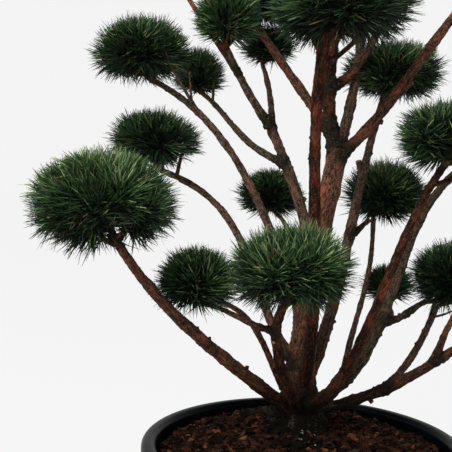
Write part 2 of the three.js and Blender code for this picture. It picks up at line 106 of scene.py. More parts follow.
# Name, parent and the share of its length where the limb leaves it, heading
# in degrees from +X towards +Y, reach and rise, bows (up, left) at the first
# and second third, girths of foot and tip. Lengths are in millimetres.
LIMBS = [
    ("trunk", None, 0, 338, 48, 450, (18, -14), (11, -1), (42, 31)),
    ("leader", "trunk", 0.98, 197, 42, 365, (1, -93), (69, -17), (20, 12)),
    ("stem_right", "trunk", 0.06, 323, 230, 403, (-136, -150), (32, 42), (17, 11)),
    ("stem_rear", "trunk", 0.1, 38, 174, 503, (-59, 13), (-45, 60), (24, 11)),
    ("bough_low_left", "trunk", 0.02, 215, 335, 295, (-8, 22), (-38, 6), (23, 13)),
    ("stem_front", "trunk", 0.08, 273, 112, 562, (-65, 25), (32, -13), (20, 16)),
    ("stem_left", "trunk", 0.48, 137, 100, 274, (8, -46), (6, -15), (20, 15)),
    ("stem_left_front", "stem_left", 0.97, 210, 86, 116, (-5, -4), (-4, -3), (14, 10)),
    ("stem_left_rear", "stem_left", 0.95, 98, 105, 112, (6, -6), (4, -5), (11, 8)),
    ("bough_high_right", "trunk", 0.96, 338, 220, 276, (-20, 10), (4, -42), (17, 12)),
    ("stem_top_rear", "trunk", 0.97, 74, 202, 326, (-8, -16), (-5, -18), (18, 12)),
    ("stem_top_right", "leader", 0.28, 8, 158, 185, (-46, 53), (49, -33), (15, 11)),
    ("stem_top_left", "leader", 0.09, 140, 166, 186, (-1, 3), (-5, -4), (17, 12)),
    ("bough_mid_left", "trunk", 0.2, 159, 251, 310, (-7, 38), (66, -130), (16, 10)),
    ("bough_high_left", "trunk", 0.37, 151, 310, 391, (-10, -88), (86, -40), (16, 10)),
    ("branch_left_rear", "stem_left", 0.74, 128, 236, 120, (-16, 32), (4, 0), (13, 8)),
    ("bough_front", "trunk", 0.05, 257, 183, 204, (-56, 16), (-2, -46), (19, 12)),
    ("branch_front_left", "bough_front", 0.8, 162, 119, 31, (-6, 12), (6, -14), (9, 7)),
    ("bough_low_right", "trunk", 0.04, 342, 302, 186, (-50, 65), (-29, 29), (19, 12)),
    ("branch_right_up", "bough_low_right", 0.66, 345, 121, 196, (36, -54), (19, 39), (10, 8)),
    ("branch_right_back", "bough_low_right", 0.38, 41, 250, 306, (-39, -30), (25, 3), (12, 9)),
    ("stem_right_rear", "stem_right", 0.06, 11, 287, 414, (-55, -102), (60, 122), (20, 12)),
    ("branch_right", "stem_right_rear", 0.35, 37, 141, 17, (-9, -21), (27, 9), (11, 8)),
    ("branch_right_inner", "branch_right", 0.39, 94, 128, -11, (-33, 33), (-18, -8), (8, 6)),
    ("stem_rear_thin", "stem_right_rear", 0.12, 71, 221, 246, (29, -2), (-66, -10), (10, 8)),
    ("branch_rear_right", "stem_rear", 0.53, 39, 49, 27, (-2, -4), (1, 2), (10, 8)),
    ("stem_centre_rear", "trunk", 0.31, 103, 183, 189, (-28, 0), (42, -30), (11, 7)),
    ("bough_low_rear", "trunk", 0.18, 91, 190, 106, (-22, -12), (-12, -8), (16, 10)),
    ("bough_low_rear_left", "trunk", 0.06, 164, 153, 166, (-14, -8), (62, -14), (12, 8)),
    ("branch_top_left", "stem_left_front", 0.72, 165, 128, 180, (-4, 12), (-3, -11), (8, 7)),
]


def unit(ways):
    """The same ways, each one metre long."""
    return ways / np.linalg.norm(ways, axis=-1, keepdims=True)


def limb_path(foot, heading, reach, rise, bows):
    """The limb's curve as a foot, two knees and a tip, and its left side."""
    turn = math.radians(heading)
    chord = np.array([reach * math.cos(turn), reach * math.sin(turn), rise]) * MM
    left = np.array([-math.sin(turn), math.cos(turn), 0.0])
    up = np.cross(unit(chord), left)
    knees = [foot + chord * (third + 1) / 3 + (up * bow[0] + left * bow[1]) * MM
             for third, bow in enumerate(bows)]
    return np.array([foot, *knees, foot + chord]), left


def point_on(path, share):
    """Points of the curve at shares of its length."""
    t = np.asarray(share, float)[..., None]
    foot, first, second, tip = path
    return ((1 - t) ** 3 * foot + 3 * t * (1 - t) ** 2 * first
            + 3 * t * t * (1 - t) * second + t ** 3 * tip)


def heading_on(path, share):
    """Unit headings of the curve at shares of its length."""
    t = np.asarray(share, float)[..., None]
    foot, first, second, tip = path
    return unit((1 - t) ** 2 * (first - foot) + 2 * t * (1 - t) * (second - first)
                + t * t * (tip - second))


def sides_of(left, along):
    """Two directions square to each heading, the first turned from left."""
    side = unit(left - along * (along @ left)[..., None])
    return side, np.cross(side, along)


def bark_rise(place, thick, fork):
    """How far plates, nubs, knots and wavers lift the bark at a place."""
    knot = abs(math.sin(math.pi * place[2] / KNOT_SPACING)) ** KNOT_SHARPNESS
    waver = noise.noise(Vector(place) * WAVER_SCALE)
    cell = Vector((place[0] / PLATE_WIDTH, place[1] / PLATE_WIDTH, place[2] / PLATE_LENGTH))
    near = noise.voronoi(cell)[0]
    crack = min((near[1] - near[0]) * CRACK_SLOPE, 1.0)
    flake = noise.noise(cell * 0.6)
    plated = min(1.0, thick / FULL_PLATE_RADIUS)
    plates = PLATE_RISE * plated * (crack - CRACK_DEPTH + FLAKE_RISE * flake)
    nub = max(0.0, 1.0 - noise.voronoi(Vector(place) / NUB_SPACING)[0][0] / NUB_SHARE)
    rough = noise.noise(Vector(place) * ROUGH_SCALE)
    gnarl = fork * min(thick, FORK_THICK) * FORK_RISE * (1 + FORK_GNARL * rough)
    return (plates + ROUGH_RISE * plated * rough + NUB_RISE * plated * nub + gnarl
            + thick * (WAVER_RISE * waver + KNOT_RISE * knot))


def finish_closed(piece):
    """Closes a rolled piece's seam and turns its faces outwards."""
    bpy.ops.object.mode_set(mode="EDIT")
    bpy.ops.mesh.select_all(action="SELECT")
    bpy.ops.mesh.remove_doubles(threshold=CLOSE)
    bpy.ops.mesh.normals_make_consistent(inside=False)
    bpy.ops.mesh.select_all(action="DESELECT")
    bpy.ops.object.mode_set(mode="OBJECT")
    bpy.ops.object.shade_smooth()
    piece.select_set(False)


def tell(piece, name, kind, key, values):
    """Keeps a value at each point of a piece's mesh, for its material."""
    told = piece.data.attributes.new(name, kind, "POINT")
    told.data.foreach_set(key, values.ravel())


def bark_tube(name, path, left, radius_at, seed, level=False, forks=()):
    """A strip rolled round the curve, closed at both ends, with bark relief."""
    samples = point_on(path, np.linspace(0, 1, LENGTH_SAMPLES))
    length = float(np.linalg.norm(np.diff(samples, axis=0), axis=1).sum())
    usual = float(radius_at(np.array([GIRTH_AT]), np.zeros(1), np.ones((1, 3)))[0])
    sides = max(LEAST_SIDES, round(2 * math.pi * usual / BARK_FACET))
    rings = max(LEAST_RINGS, round(length / BARK_RING))
    bpy.ops.mesh.primitive_grid_add(x_subdivisions=sides, y_subdivisions=rings + 2, size=1)
    tube = bpy.context.object
    tube.name = name
    tube.data.name = name
    flat = np.empty(len(tube.data.vertices) * 3)
    tube.data.vertices.foreach_get("co", flat)
    flat = flat.reshape(-1, 3)
    angle = (flat[:, 0] + 0.5) * 2 * math.pi
    ring = np.rint((flat[:, 1] + 0.5) * (rings + 2))
    share = np.clip((ring - 1) / rings, 0, 1)
    if level:
        share = share ** FOOT_CROWDING
    closing = (ring == 0) | (ring == rings + 2)
    centre = point_on(path, share)
    along = np.tile([0.0, 0.0, 1.0], (len(share), 1)) if level else heading_on(path, share)
    side, third = sides_of(left, along)
    radius = radius_at(share, angle, centre)
    place = np.stack([radius * np.cos(angle), radius * np.sin(angle), share * length], axis=1)
    shift = PATTERN_STEP * seed
    outward = side * np.sin(angle)[:, None] + third * np.cos(angle)[:, None]
    smooth = centre + outward * radius[:, None]
    fork = np.zeros(len(share))
    for where, size in forks:
        gap = np.linalg.norm(smooth - where, axis=1)
        fork = np.maximum(fork, np.exp(-((gap / size) ** 2)))
    rise = np.array([bark_rise(spot + shift, thick, close)
                     for spot, thick, close in zip(place, radius, fork)])
    radius = np.where(closing, 0.0, radius + rise)
    points = centre + outward * radius[:, None]
    tube.data.vertices.foreach_set("co", points.ravel())
    tell(tube, "bark_place", "FLOAT_VECTOR", "vector", place + shift)
    tell(tube, "fork_near", "FLOAT", "value", fork)
    finish_closed(tube)
    return tube


class Shade:
    """A socket of a material's nodes, on which + - and * add Math nodes."""

    def __init__(self, tree, socket=None):
        self.tree = tree
        self.socket = socket

    def node(self, kind, settings=(), sockets=(), output=0):
        """Adds a node: its settings first, then its sockets' values or links."""
        made = self.tree.nodes.new(kind)
        for name, value in dict(settings).items():
            setattr(made, name, value)
        for key, value in dict(sockets).items():
            if isinstance(value, Shade):
                self.tree.links.new(value.socket, made.inputs[key])
            else:
                made.inputs[key].default_value = value
        return Shade(self.tree, made.outputs[output])

    def math(self, operation, one, other):
        """Works out two numbers, either of them a Shade."""
        return self.node("ShaderNodeMath", {"operation": operation}, {0: one, 1: other})

    def __add__(self, other):
        return self.math("ADD", self, other)

    def __radd__(self, other):
        return self.math("ADD", other, self)

    def __sub__(self, other):
        return self.math("SUBTRACT", self, other)

    def __rsub__(self, other):
        return self.math("SUBTRACT", other, self)

    def __mul__(self, other):
        return self.math("MULTIPLY", self, other)

    def __rmul__(self, other):
        return self.math("MULTIPLY", other, self)

    def place(self):
        """Where a point is on its object, in metres."""
        return self.node("ShaderNodeTexCoord", {}, {}, 3)

    def height(self):
        """How high this place is."""
        return self.node("ShaderNodeSeparateXYZ", {}, {"Vector": self}, 2)

    def between(self, low, high):
        """0 below low, 1 above high, even in between."""
        return self.node("ShaderNodeMapRange", {"clamp": True},
                         {"Value": self, "From Min": low, "From Max": high})

    def blend(self, one, other):
        """Colour one where this is 0 and the other where it is 1."""
        return self.node("ShaderNodeMix", {"data_type": "RGBA"},
                         {0: self, 6: one, 7: other}, 2)

    def stretched(self, scale):
        """This vector multiplied along each axis."""
        return self.node("ShaderNodeVectorMath", {"operation": "MULTIPLY"},
                         {0: self, 1: scale})

    def cloud(self, scale, detail=4.0, roughness=0.55):
        """Noise at a number of features a metre, from 0 to 1."""
        return self.node("ShaderNodeTexNoise", {},
                         {"Vector": self, "Scale": scale, "Detail": detail,
                          "Roughness": roughness})

    def cells(self, scale, feature="F1"):
        """Distance to the nearest cell's middle, or to its edge."""
        return self.node("ShaderNodeTexVoronoi", {"feature": feature},
                         {"Vector": self, "Scale": scale})


def tone(red, green, blue):
    """A colour as seen on screen, from 0 to 255, as the shader's own numbers."""
    parts = [value / 255 for value in (red, green, blue)]
    linear = [p / 12.92 if p <= 0.04045 else ((p + 0.055) / 1.055) ** 2.4 for p in parts]
    return (*linear, 1.0)


def scaled_tone(colour, share):
    """A colour as seen in shade, at a share of its full lightness."""
    return tone(*[round(value * share) for value in colour])


def new_finish(name, rough=0.5, specular=0.5):
    """A new material, its shader, and a start for its nodes."""
    finish = bpy.data.materials.new(name)
    finish.use_nodes = True
    tree = finish.node_tree
    shader = tree.nodes["Principled BSDF"]
    shader.inputs["Roughness"].default_value = rough
    shader.inputs["Specular IOR Level"].default_value = specular
    return finish, shader, Shade(tree)


def wire(shader, name, value):
    """Links a shade to a socket of the shader."""
    value.tree.links.new(value.socket, shader.inputs[name])


def roughen(shader, height, strength, distance):
    """Lets the light show a relief that is too fine to model."""
    bump = height.node("ShaderNodeBump", {},
                       {"Strength": strength, "Distance": distance, "Height": height})
    wire(shader, "Normal", bump)


# What time and weather leave on every bark; the fork, damp and moss tones also carry painted
# shade
CRACK_TONE = tone(24, 16, 12)
LICHEN_TONE = tone(60, 62, 46)
FORK_AND_SHADE_TONES = tone(12, 11, 8), tone(52, 47, 36)
SCAR_TONE = tone(176, 158, 138)
DAMP_AND_SHADE_TONE = tone(30, 17, 11)
MOSS_AND_SHADE_TONES = tone(5, 5, 3), tone(32, 30, 23), tone(92, 88, 76)


def bark_finish(name, plate, fresh, edge, fresh_share):
    """Scaly bark: dark streaks, fresh red-brown patches, pale flecks, painted shade at forks and
    low down.
    """
    finish, shader, start = new_finish(name, specular=0.08)
    place = start.node("ShaderNodeAttribute", {"attribute_name": "bark_place"}, {}, 1)
    forks = start.node("ShaderNodeAttribute", {"attribute_name": "fork_near"}, {}, 2)
    height = start.place().height()
    drawn = place.stretched((1.0, 1.0, 0.34))
    plates = drawn.cells(170.0, "DISTANCE_TO_EDGE")
    patches = drawn.cloud(80.0, 5.0, 0.6)
    specks = place.cloud(620.0, 4.0, 0.7)
    streaks = place.stretched((1.0, 1.0, 0.4)).cloud(300.0, 4.0, 0.65)
    mottle = place.cloud(26.0, 3.0, 0.5)
    dots = place.cells(260.0)
    grain = (specks * 0.6 + streaks * 0.4).between(0.445, 0.57)
    ground = grain.blend(scaled_tone(plate, 0.26), tone(*plate))
    shed = (patches + mottle * 0.4).between(0.80 - fresh_share, 0.98 - fresh_share)
    shed = shed * (streaks * 0.6 + specks * 0.4).between(0.36, 0.56)
    ground = shed.blend(ground, tone(*fresh))
    flaked = (specks * streaks).between(0.33, 0.43) * 0.6
    ground = flaked.blend(ground, tone(*edge))
    cracked = (1 - plates.between(0.0, 0.07)) * 0.45
    ground = cracked.blend(ground, CRACK_TONE)
    lichen = (mottle * 0.7 + specks * 0.5).between(0.66, 0.74) * 0.55
    ground = lichen.blend(ground, LICHEN_TONE)
    # Dark gnarled bark round each fork, with painted shade in the crotch
    gnarled_and_shaded = (forks * 1.3 + specks * 0.6 - 0.3).between(0.15, 0.6) * 0.92
    ground = gnarled_and_shaded.blend(ground, specks.between(0.4, 0.62).blend(*FORK_AND_SHADE_TONES))
    scars = (1 - dots.between(0.10, 0.16)) * streaks.between(0.5, 0.56) * 0.7
    ground = scars.blend(ground, SCAR_TONE)
    # Painted shade under the pads, with damp bark: darker towards the foot of each limb
    damp_and_shade = (1 - (height + mottle * 0.1).between(MOSS_AND_SHADE_TOP, DAMP_AND_SHADE_TOP)) * 0.36
    ground = damp_and_shade.blend(ground, DAMP_AND_SHADE_TONE)
    # Near-black moss at each limb's foot: moss with painted shade near the soil
    moss_and_shade = specks.between(0.48, 0.66).blend(*MOSS_AND_SHADE_TONES[:2])
    moss_and_shade = (patches * specks).between(0.33, 0.37).blend(moss_and_shade, MOSS_AND_SHADE_TONES[2])
    low = (1 - (height + mottle * 0.04).between(MOSS_AND_SHADE_TOP - 0.03, MOSS_AND_SHADE_TOP + 0.04)) * 0.9
    ground = low.blend(ground, moss_and_shade)
    wire(shader, "Base Color", ground)
    wire(shader, "Roughness", 0.98 - streaks * 0.3)
    roughen(shader, plates.between(0.0, 0.2) * 0.3 + specks * 0.9 + streaks * 0.8, 1.0, 0.0022)
    return finish


# The bark of the trunk and of most limbs, then more orange, dull grey-brown
# and darker, greener bark, with the limbs that have it
trunk_bark = bark_finish("bark_trunk", (134, 98, 78), (170, 94, 64), (180, 154, 132), 0.14)
brown_bark = bark_finish("bark_brown", (108, 77, 60), (142, 78, 54), (164, 134, 114), 0.12)
orange_bark = bark_finish("bark_orange", (60, 38, 27), (112, 53, 34), (156, 116, 92), 0.155)
dull_bark = bark_finish("bark_dull", (116, 93, 78), (132, 88, 68), (162, 144, 126), 0.08)
green_bark = bark_finish("bark_green", (98, 84, 65), (124, 82, 59), (138, 126, 108), 0.06)
BARKS = [
    (trunk_bark, ["trunk"]),
    (orange_bark, ["stem_front", "stem_right", "bough_front", "leader"]),
    (dull_bark, ["stem_rear", "stem_rear_thin", "stem_centre_rear", "stem_left",
                 "stem_left_front", "stem_left_rear", "stem_top_rear", "bough_mid_left",
                 "bough_high_left", "branch_right_back", "bough_low_rear"]),
    (green_bark, ["stem_right_rear", "branch_right", "branch_right_inner", "branch_left_rear"]),
]
bark_of = {limb: bark for bark, limbs in BARKS for limb in limbs}

# Each limb's curve, left side and girths, and the forks that roughen its bark
# and darken it with painted shade, as a place and a size
paths = {}
lefts = {}
girths = {}
forks = {}
for name, parent, at, heading, reach, rise, first, second, girth in LIMBS:
    foot = point_on(paths[parent], at) if parent else ROOT_CROWN
    paths[name], lefts[name] = limb_path(foot, heading, reach, rise, (first, second))
    girths[name] = np.array(girth) * MM
    forks[name] = [] if parent else [(foot + np.array([0.0, 0.0, FOOT_FORK[0]]), FOOT_FORK[1])]
    if parent:
        seat = foot + heading_on(paths[name], 0.0) * girths[parent].mean() / 2
        forks[parent].append((seat, girths[name][0] * FORK_SIZE[0] + FORK_SIZE[1]))
        forks[name].append((foot, girths[parent].mean() / 2 + COLLAR_FORK))

for number, name in enumerate(paths):
    path = paths[name]
    chord = np.linalg.norm(path[3] - path[0])

    def limb_radius(share, angle, centre, name=name, chord=chord):
        thick = (girths[name][0] + (girths[name][1] - girths[name][0]) * share) / 2
        if name == "trunk":
            lobes = 1 + FLARE_LOBE_DEPTH * np.cos(FLARE_LOBES * angle)
            above = centre[:, 2] - ROOT_CROWN[2]
            return thick + FLARE_REACH * lobes * np.exp(-above / FLARE_HEIGHT)
        return thick * (1 + COLLAR_SWELL * np.exp(-share * chord / COLLAR_LENGTH))

    limb = bark_tube(name + "_bark", path, lefts[name], limb_radius, number,
                     name == "trunk", forks[name])
    limb.data.materials.append(bark_of.get(name, brown_bark))
    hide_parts(name)
    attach(limb, "root")


# Pruning stubs and side twigs
# Where branches were cut away, short stubs are left, some with a pale end
# grain, and a few thin twigs grow from the boughs.

STUB_TAPER = (1.06, 0.2)
CUT_DEPTH = 0.0008
CUT_SLOPE = 0.6
SIDE_TWIG_TAPER = (1.1, 0.5)
SIDE_TWIG_LIFT = np.array([[0.0, 0.0, 0.04], [0.0, 0.0, 0.2]])
FIRST_STUB_SEED = 60
FIRST_TWIG_SEED = 90
ASKEW = [0.3, 0.5, 0.8]

# Stubs left by pruning: limb, share of its length, turn about it in degrees,
# lean along it, length and girth in millimetres, and whether the cut is pale
STUBS = [
    ("bough_low_left", 0.52, 275, 0.9, 3, 5, False),
    ("bough_low_left", 0.33, 270, 0.5, 4, 6, False),
    ("bough_low_left", 0.61, 215, 1.4, 2, 4, False),
    ("bough_front", 0.5, 175, 0.5, 7, 8, False),
    ("bough_front", 0.74, 95, 0.5, 10, 6, True),
    ("stem_front", 0.70, 175, 0.3, 2, 4, False),
    ("stem_front", 0.80, 20, 0.5, 2, 4, False),
    ("stem_front", 0.45, 95, 0.5, 2, 4, False),
    ("leader", 0.28, 105, 0.5, 4, 8, False),
    ("bough_high_right", 0.24, 60, 0.4, 4, 9, True),
    ("leader", 0.33, 70, 1.2, 34, 12, True),
    ("stem_rear", 0.73, 275, 1.4, 16, 12, True),
    ("stem_rear", 0.24, 170, 0.5, 4, 6, False),
    ("stem_rear", 0.38, 10, 0.6, 3, 6, False),
    ("stem_right", 0.30, 100, 0.3, 2, 12, False),
    ("stem_right", 0.62, 240, 0.9, 3, 5, False),
    ("stem_right_rear", 0.22, 70, 0.6, 3, 7, False),
    ("branch_right", 0.25, 295, 0.2, 2, 5, False),
    ("bough_low_right", 0.30, 120, 0.3, 5, 8, True),
    ("trunk", 0.36, 20, 0.4, 6, 12, True),
    ("trunk", 0.55, 200, 0.4, 4, 9, False),
    ("stem_left", 0.5, 250, 0.6, 4, 7, False),
    ("stem_top_rear", 0.4, 200, 0.6, 9, 8, True),
    ("bough_high_left", 0.45, 265, 0.8, 3, 5, False),
]

# Thin side twigs: limb, share, turn, lean, length and girth
SIDE_TWIGS = [
    ("bough_mid_left", 0.96, 260, 0.2, 42, 7),
    ("bough_high_left", 0.795, 315, 2.2, 95, 6),
    ("bough_high_left", 0.835, 275, 0.9, 44, 5),
    ("branch_left_rear", 0.86, 280, 0.2, 28, 5),
    ("stem_front", 0.94, 25, 0.8, 60, 9),
    ("stem_front", 0.975, 175, 1.2, 46, 8),
    ("bough_high_right", 0.32, 140, 1.8, 42, 6),
    ("bough_low_right", 0.60, 235, 1.8, 46, 6),
    ("branch_right_back", 0.38, 175, 0.4, 38, 4),
    ("stem_right", 0.92, 60, 0.9, 40, 7),
]


def side_shoot(limb, at, turn, lean, length):
    """Four points of a shoot that leaves a limb's middle, and its side."""
    along = heading_on(paths[limb], at)
    side, third = sides_of(lefts[limb], along)
    angle = math.radians(turn)
    out = unit(side * math.cos(angle) + third * math.sin(angle) + along * lean)
    foot = point_on(paths[limb], at)
    thick = (girths[limb][0] + (girths[limb][1] - girths[limb][0]) * at) / 2
    reach = length * MM + thick * math.hypot(1, lean)
    path = np.array([foot + out * reach * step / 3 for step in range(4)])
    return path, np.cross(out, ASKEW)


end_grain, shader, start = new_finish("cut_end_grain", 0.9, 0.2)
grain = start.place().cloud(420.0, 4.0, 0.6)
wire(shader, "Base Color", grain.between(0.35, 0.65).blend(tone(88, 72, 58), tone(158, 140, 118)))


def side_piece(name, limb, path, left, girth, taper, seed):
    """A tapering stub or twig in its limb's bark."""
    def radius_at(share, angle, centre):
        return (girth / 2) * MM * (taper[0] - taper[1] * share)

    piece = bark_tube(name, path, left, radius_at, seed)
    piece.data.materials.append(bark_of.get(limb, brown_bark))
    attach(piece, "root")
    return piece


for number, (limb, at, turn, lean, length, girth, pale) in enumerate(STUBS):
    path, left = side_shoot(limb, at, turn, lean, length)
    stub = side_piece(f"pruned_stub_{number + 1}", limb, path, left, girth, STUB_TAPER,
                      FIRST_STUB_SEED + number)
    stub.data.materials.append(end_grain)
    way = Vector(path[3] - path[0]).normalized()
    for face in stub.data.polygons:
        at_end = (face.center - Vector(path[3])).dot(way) > -CUT_DEPTH
        if pale and at_end and face.normal.dot(way) > CUT_SLOPE:
            face.material_index = 1

for number, (limb, at, turn, lean, length, girth) in enumerate(SIDE_TWIGS):
    path, left = side_shoot(limb, at, turn, lean, length)
    path[2:] += SIDE_TWIG_LIFT * length * MM
    side_piece(f"side_twig_{number + 1}", limb, path, left, girth, SIDE_TWIG_TAPER,
               FIRST_TWIG_SEED + number)


# Needle pads
# Clipped clouds of needles, 40 to 58 mm long, in tufts on short shoots. A stem
# goes on from each bough's tip, forks into branches and these into shoots.

# Name, bough, width, depth, height, and the way from the bough's tip to the
# pad's middle. Lengths are in millimetres.
PADS = [
    ("needles_crown", "leader", 200, 200, 130, (0, 0, 58)),
    ("needles_right", "stem_right", 168, 168, 104, (-3, -10, 38)),
    ("needles_back_high", "stem_rear", 190, 190, 110, (12, -1, 30)),
    ("needles_low_left", "bough_low_left", 226, 226, 155, (-21, -15, 56)),
    ("needles_crown_front", "stem_front", 230, 200, 148, (20, -22, 50)),
    ("needles_left_front", "stem_left_front", 120, 120, 120, (-3, -10, 46)),
    ("needles_left_rear", "stem_left_rear", 108, 108, 74, (12, 25, 34)),
    ("needles_high_right", "bough_high_right", 172, 172, 115, (15, -5, 52)),
    ("needles_top_rear", "stem_top_rear", 160, 160, 105, (-2, 12, 48)),
    ("needles_top_right", "stem_top_right", 130, 130, 100, (12, 2, 45)),
    ("needles_top_left", "stem_top_left", 150, 150, 108, (13, 2, 30)),
    ("needles_mid_left", "bough_mid_left", 172, 172, 104, (-18, 0, 50)),
    ("needles_high_left", "bough_high_left", 190, 190, 133, (-15, -2, 41)),
    ("needles_back_left", "branch_left_rear", 105, 105, 112, (-8, 20, 33)),
    ("needles_front", "bough_front", 200, 200, 142, (7, -15, 48)),
    ("needles_front_left", "branch_front_left", 142, 142, 116, (-6, 10, 28)),
    ("needles_low_right", "bough_low_right", 170, 170, 105, (15, -15, 48)),
    ("needles_right_upper", "branch_right_up", 140, 140, 90, (6, -2, 40)),
    ("needles_right_back", "branch_right_back", 118, 118, 80, (8, 10, 36)),
    ("needles_far_right", "stem_right_rear", 188, 188, 118, (30, 0, 52)),
    ("needles_right_mid", "branch_right", 186, 158, 128, (25, -12, 46)),
    ("needles_right_inner", "branch_right_inner", 98, 98, 70, (1, 14, 32)),
    ("needles_back", "stem_rear_thin", 166, 166, 124, (22, 16, 40)),
    ("needles_centre_rear", "stem_centre_rear", 138, 138, 94, (-10, 24, 31)),
    ("needles_low_rear", "bough_low_rear", 160, 160, 100, (-2, 24, 46)),
    ("needles_low_rear_left", "bough_low_rear_left", 100, 100, 70, (-14, 10, 32)),
    ("needles_far_top_left", "branch_top_left", 160, 160, 105, (-10, 0, 48)),
]

# Painted light: how much lighter than the rest some pads are; the other pads get painted shade
LIT_PADS = {"needles_low_left": 0.09, "needles_front": 0.24, "needles_right": 0.1,
            "needles_back_high": 0.1, "needles_back": 0.1, "needles_front_left": 0.05,
            "needles_left_front": 0.0, "needles_crown_front": 0.05}
PLAIN_PAD_LIGHT = -0.2

# Pads whose underside is open where branches fork: the opening's middle and
# half width in x, its top and its foot, in shares of the pad's half sizes
OPENINGS = {
    "needles_low_left": (0.25, 0.16, -0.20, -0.72),
    "needles_mid_left": (0.62, 0.26, -0.30, -1.10),
    "needles_front": (-0.08, 0.12, -0.66, -1.10),
    "needles_right": (0.10, 0.20, -0.55, -1.10),
    "needles_back_left": (0.10, 0.30, -0.60, -1.10),
}

# The pad's stem, its branches and the shoots that fork from them
WAY_NUDGE = 0.13
PAD_RISE = 0.55
HEART_SINK = 0.55
STEM_TURN = 0.5
STEM_TAPER = 0.5
STEM_POINTS = 12
STEM_SIDES = 8
STEM_FORKS = 5
BRANCH_COUNT = 7
BRANCH_POINTS = 7
BRANCH_SIDES = 6
BRANCH_RISE = (1.1, 0.3)
BRANCH_REACH = [0.62, 0.62, 0.6]
BRANCH_SAG = 0.12
BRANCH_FOOT = 0.6
BRANCH_TIP = 0.0017
TWIG_FOOT = 0.00156
TWIG_TIP = 0.0008
TWIG_SIDES = 3
TWIG_KNEE = 0.01
TWIG_BEND = (0.45, 0.55)
SHOOT_LENGTH = (0.024, 0.040)
LONGEST_SHOOT = 0.7
SHOOTS_PER_AREA = 740.0
AREA_POWER = 1.6
INNER_SHARE = 0.25
INNER_REACH = (0.15, 0.45)
INNER_LIFT = 0.8
TUFT_DEPTH = 0.044
TUFT_DEPTH_SPREAD = 0.008
TIP_SHARES = (0.22, 0.85)
THINNING = (0.2, 2.6, 0.86)
PAD_TAPER = 0.12
SHOOT_FALL = -0.30
SHOOT_LIFT = 0.35
SHOOT_SPREAD = 0.26
BUD_SHARE = 0.3

# The tufts: needles stand wide at the shoot's foot and close at its tip, and
# reach a ragged edge near the pad's outline
NEEDLES_PER_SHOOT = 150
FIRST_NEEDLE = 0.02
NEEDLE_LENGTH = (0.040, 0.058)
SHORTEST_NEEDLE = 0.014
NEEDLE_WIDTH = 0.0017
NEEDLE_WIDTH_RANGE = (0.85, 1.15)
NEEDLE_FOOT = 0.8
NEEDLE_TWIST = 0.9
NEEDLE_TAPER = 0.25
NEEDLE_BEND = 0.03
NEEDLE_KNEE = 0.64
NEEDLE_OPEN = 80
NEEDLE_CLOSE = 52
NEEDLE_OPEN_SPREAD = 9
NEEDLE_TURN_SPREAD = 0.25
NEEDLE_WAY_SPREAD = 0.05
NEEDLE_SEAT = 0.0008
GOLDEN_TURN = math.pi * (3 - math.sqrt(5))
EDGE_SHARE = 0.84
RAGGED_AT = [-0.4, 0.1, 0.6]
RAGGED_BY = [0.42, 0.26, 0.10]
EDGE_RAGGED = 1.7
EDGE_POWER = 2.5
TUFT_ROOM = (0.12, 0.78, 1.25)
OPENING_AT = 0.6
OPENING_KEPT = 0.1

# How light a needle is: painted light on high and upward tufts, painted shade on inner
# and buried ones, what its tuft and its own chance give, the steps from one green to the
# next, and the shares with a paler end, partly a painted highlight, and gone yellow
TUFT_LIGHT = 0.22
TUFT_LIGHT_RISE = (0.95, 0.75)
TUFT_LIGHT_SPREAD = 0.32
NEEDLE_LIGHT_SPREAD = 0.7
INNER_LIGHT = -0.8
BURIED_SHADE = 1.6
GREEN_STEPS = [-0.4, 0.35, 1.05, 1.75, 2.45]
PALER_SHARES = (0.22, 0.45, 0.7)
YELLOWED = 6
YELLOWED_SHARE = 0.009


def pad_half(rise, half):
    """The pad's half sizes for directions that rise or fall."""
    up = np.where(rise > 0, 2 * half[2] * PAD_RISE, 2 * half[2] * (1 - PAD_RISE))
    return np.stack([np.full_like(up, half[0]), np.full_like(up, half[1]), up], axis=-1)


def way_out(start, heading, middle, half):
    """How far each start is from the pad's outline along its heading."""
    reach = np.zeros(len(start))
    for rising in (True, False):
        size = pad_half(np.array([1.0 if rising else -1.0]), half)[0]
        p = (start - middle) / size
        d = heading / size
        a = (d * d).sum(1)
        b = (p * d).sum(1)
        c = (p * p).sum(1) - 1
        root = (-b + np.sqrt(np.maximum(b * b - a * c, 0))) / a
        lands = (start + heading * root[:, None] - middle)[:, 2] > 0
        reach = np.where(lands == rising, root, reach)
    return reach


def spread_directions(count, rng):
    """Directions spread evenly over a ball, each nudged a little."""
    step = np.arange(count)
    height = 1 - 2 * (step + 0.5) / count
    angle = step * GOLDEN_TURN + rng.uniform(0, 2 * math.pi)
    flat = np.sqrt(1 - height ** 2)
    ways = np.stack([flat * np.cos(angle), flat * np.sin(angle), height], axis=1)
    return unit(ways + rng.normal(0, WAY_NUDGE, ways.shape))


def square_to(ways):
    """Two directions square to each way."""
    helper = np.where(np.abs(ways[:, 2:3]) < 0.9, [[0.0, 0.0, 1.0]], [[1.0, 0.0, 0.0]])
    one = unit(np.cross(ways, helper))
    return one, np.cross(ways, one)


def spokes(ways, sides):
    """Unit spokes square to each way, evenly round it."""
    one, other = square_to(ways)
    turn = np.arange(sides) * 2 * math.pi / sides
    return (one[:, None] * np.cos(turn)[None, :, None]
            + other[:, None] * np.sin(turn)[None, :, None])


def tube_faces(rows, sides):
    """The corner numbers of a tube's faces, row by row."""
    row = np.arange(rows - 1)[:, None] * sides
    here = row + np.arange(sides)
    beside = row + (np.arange(sides) + 1) % sides
    return np.stack([here, beside, beside + sides, here + sides], axis=-1)


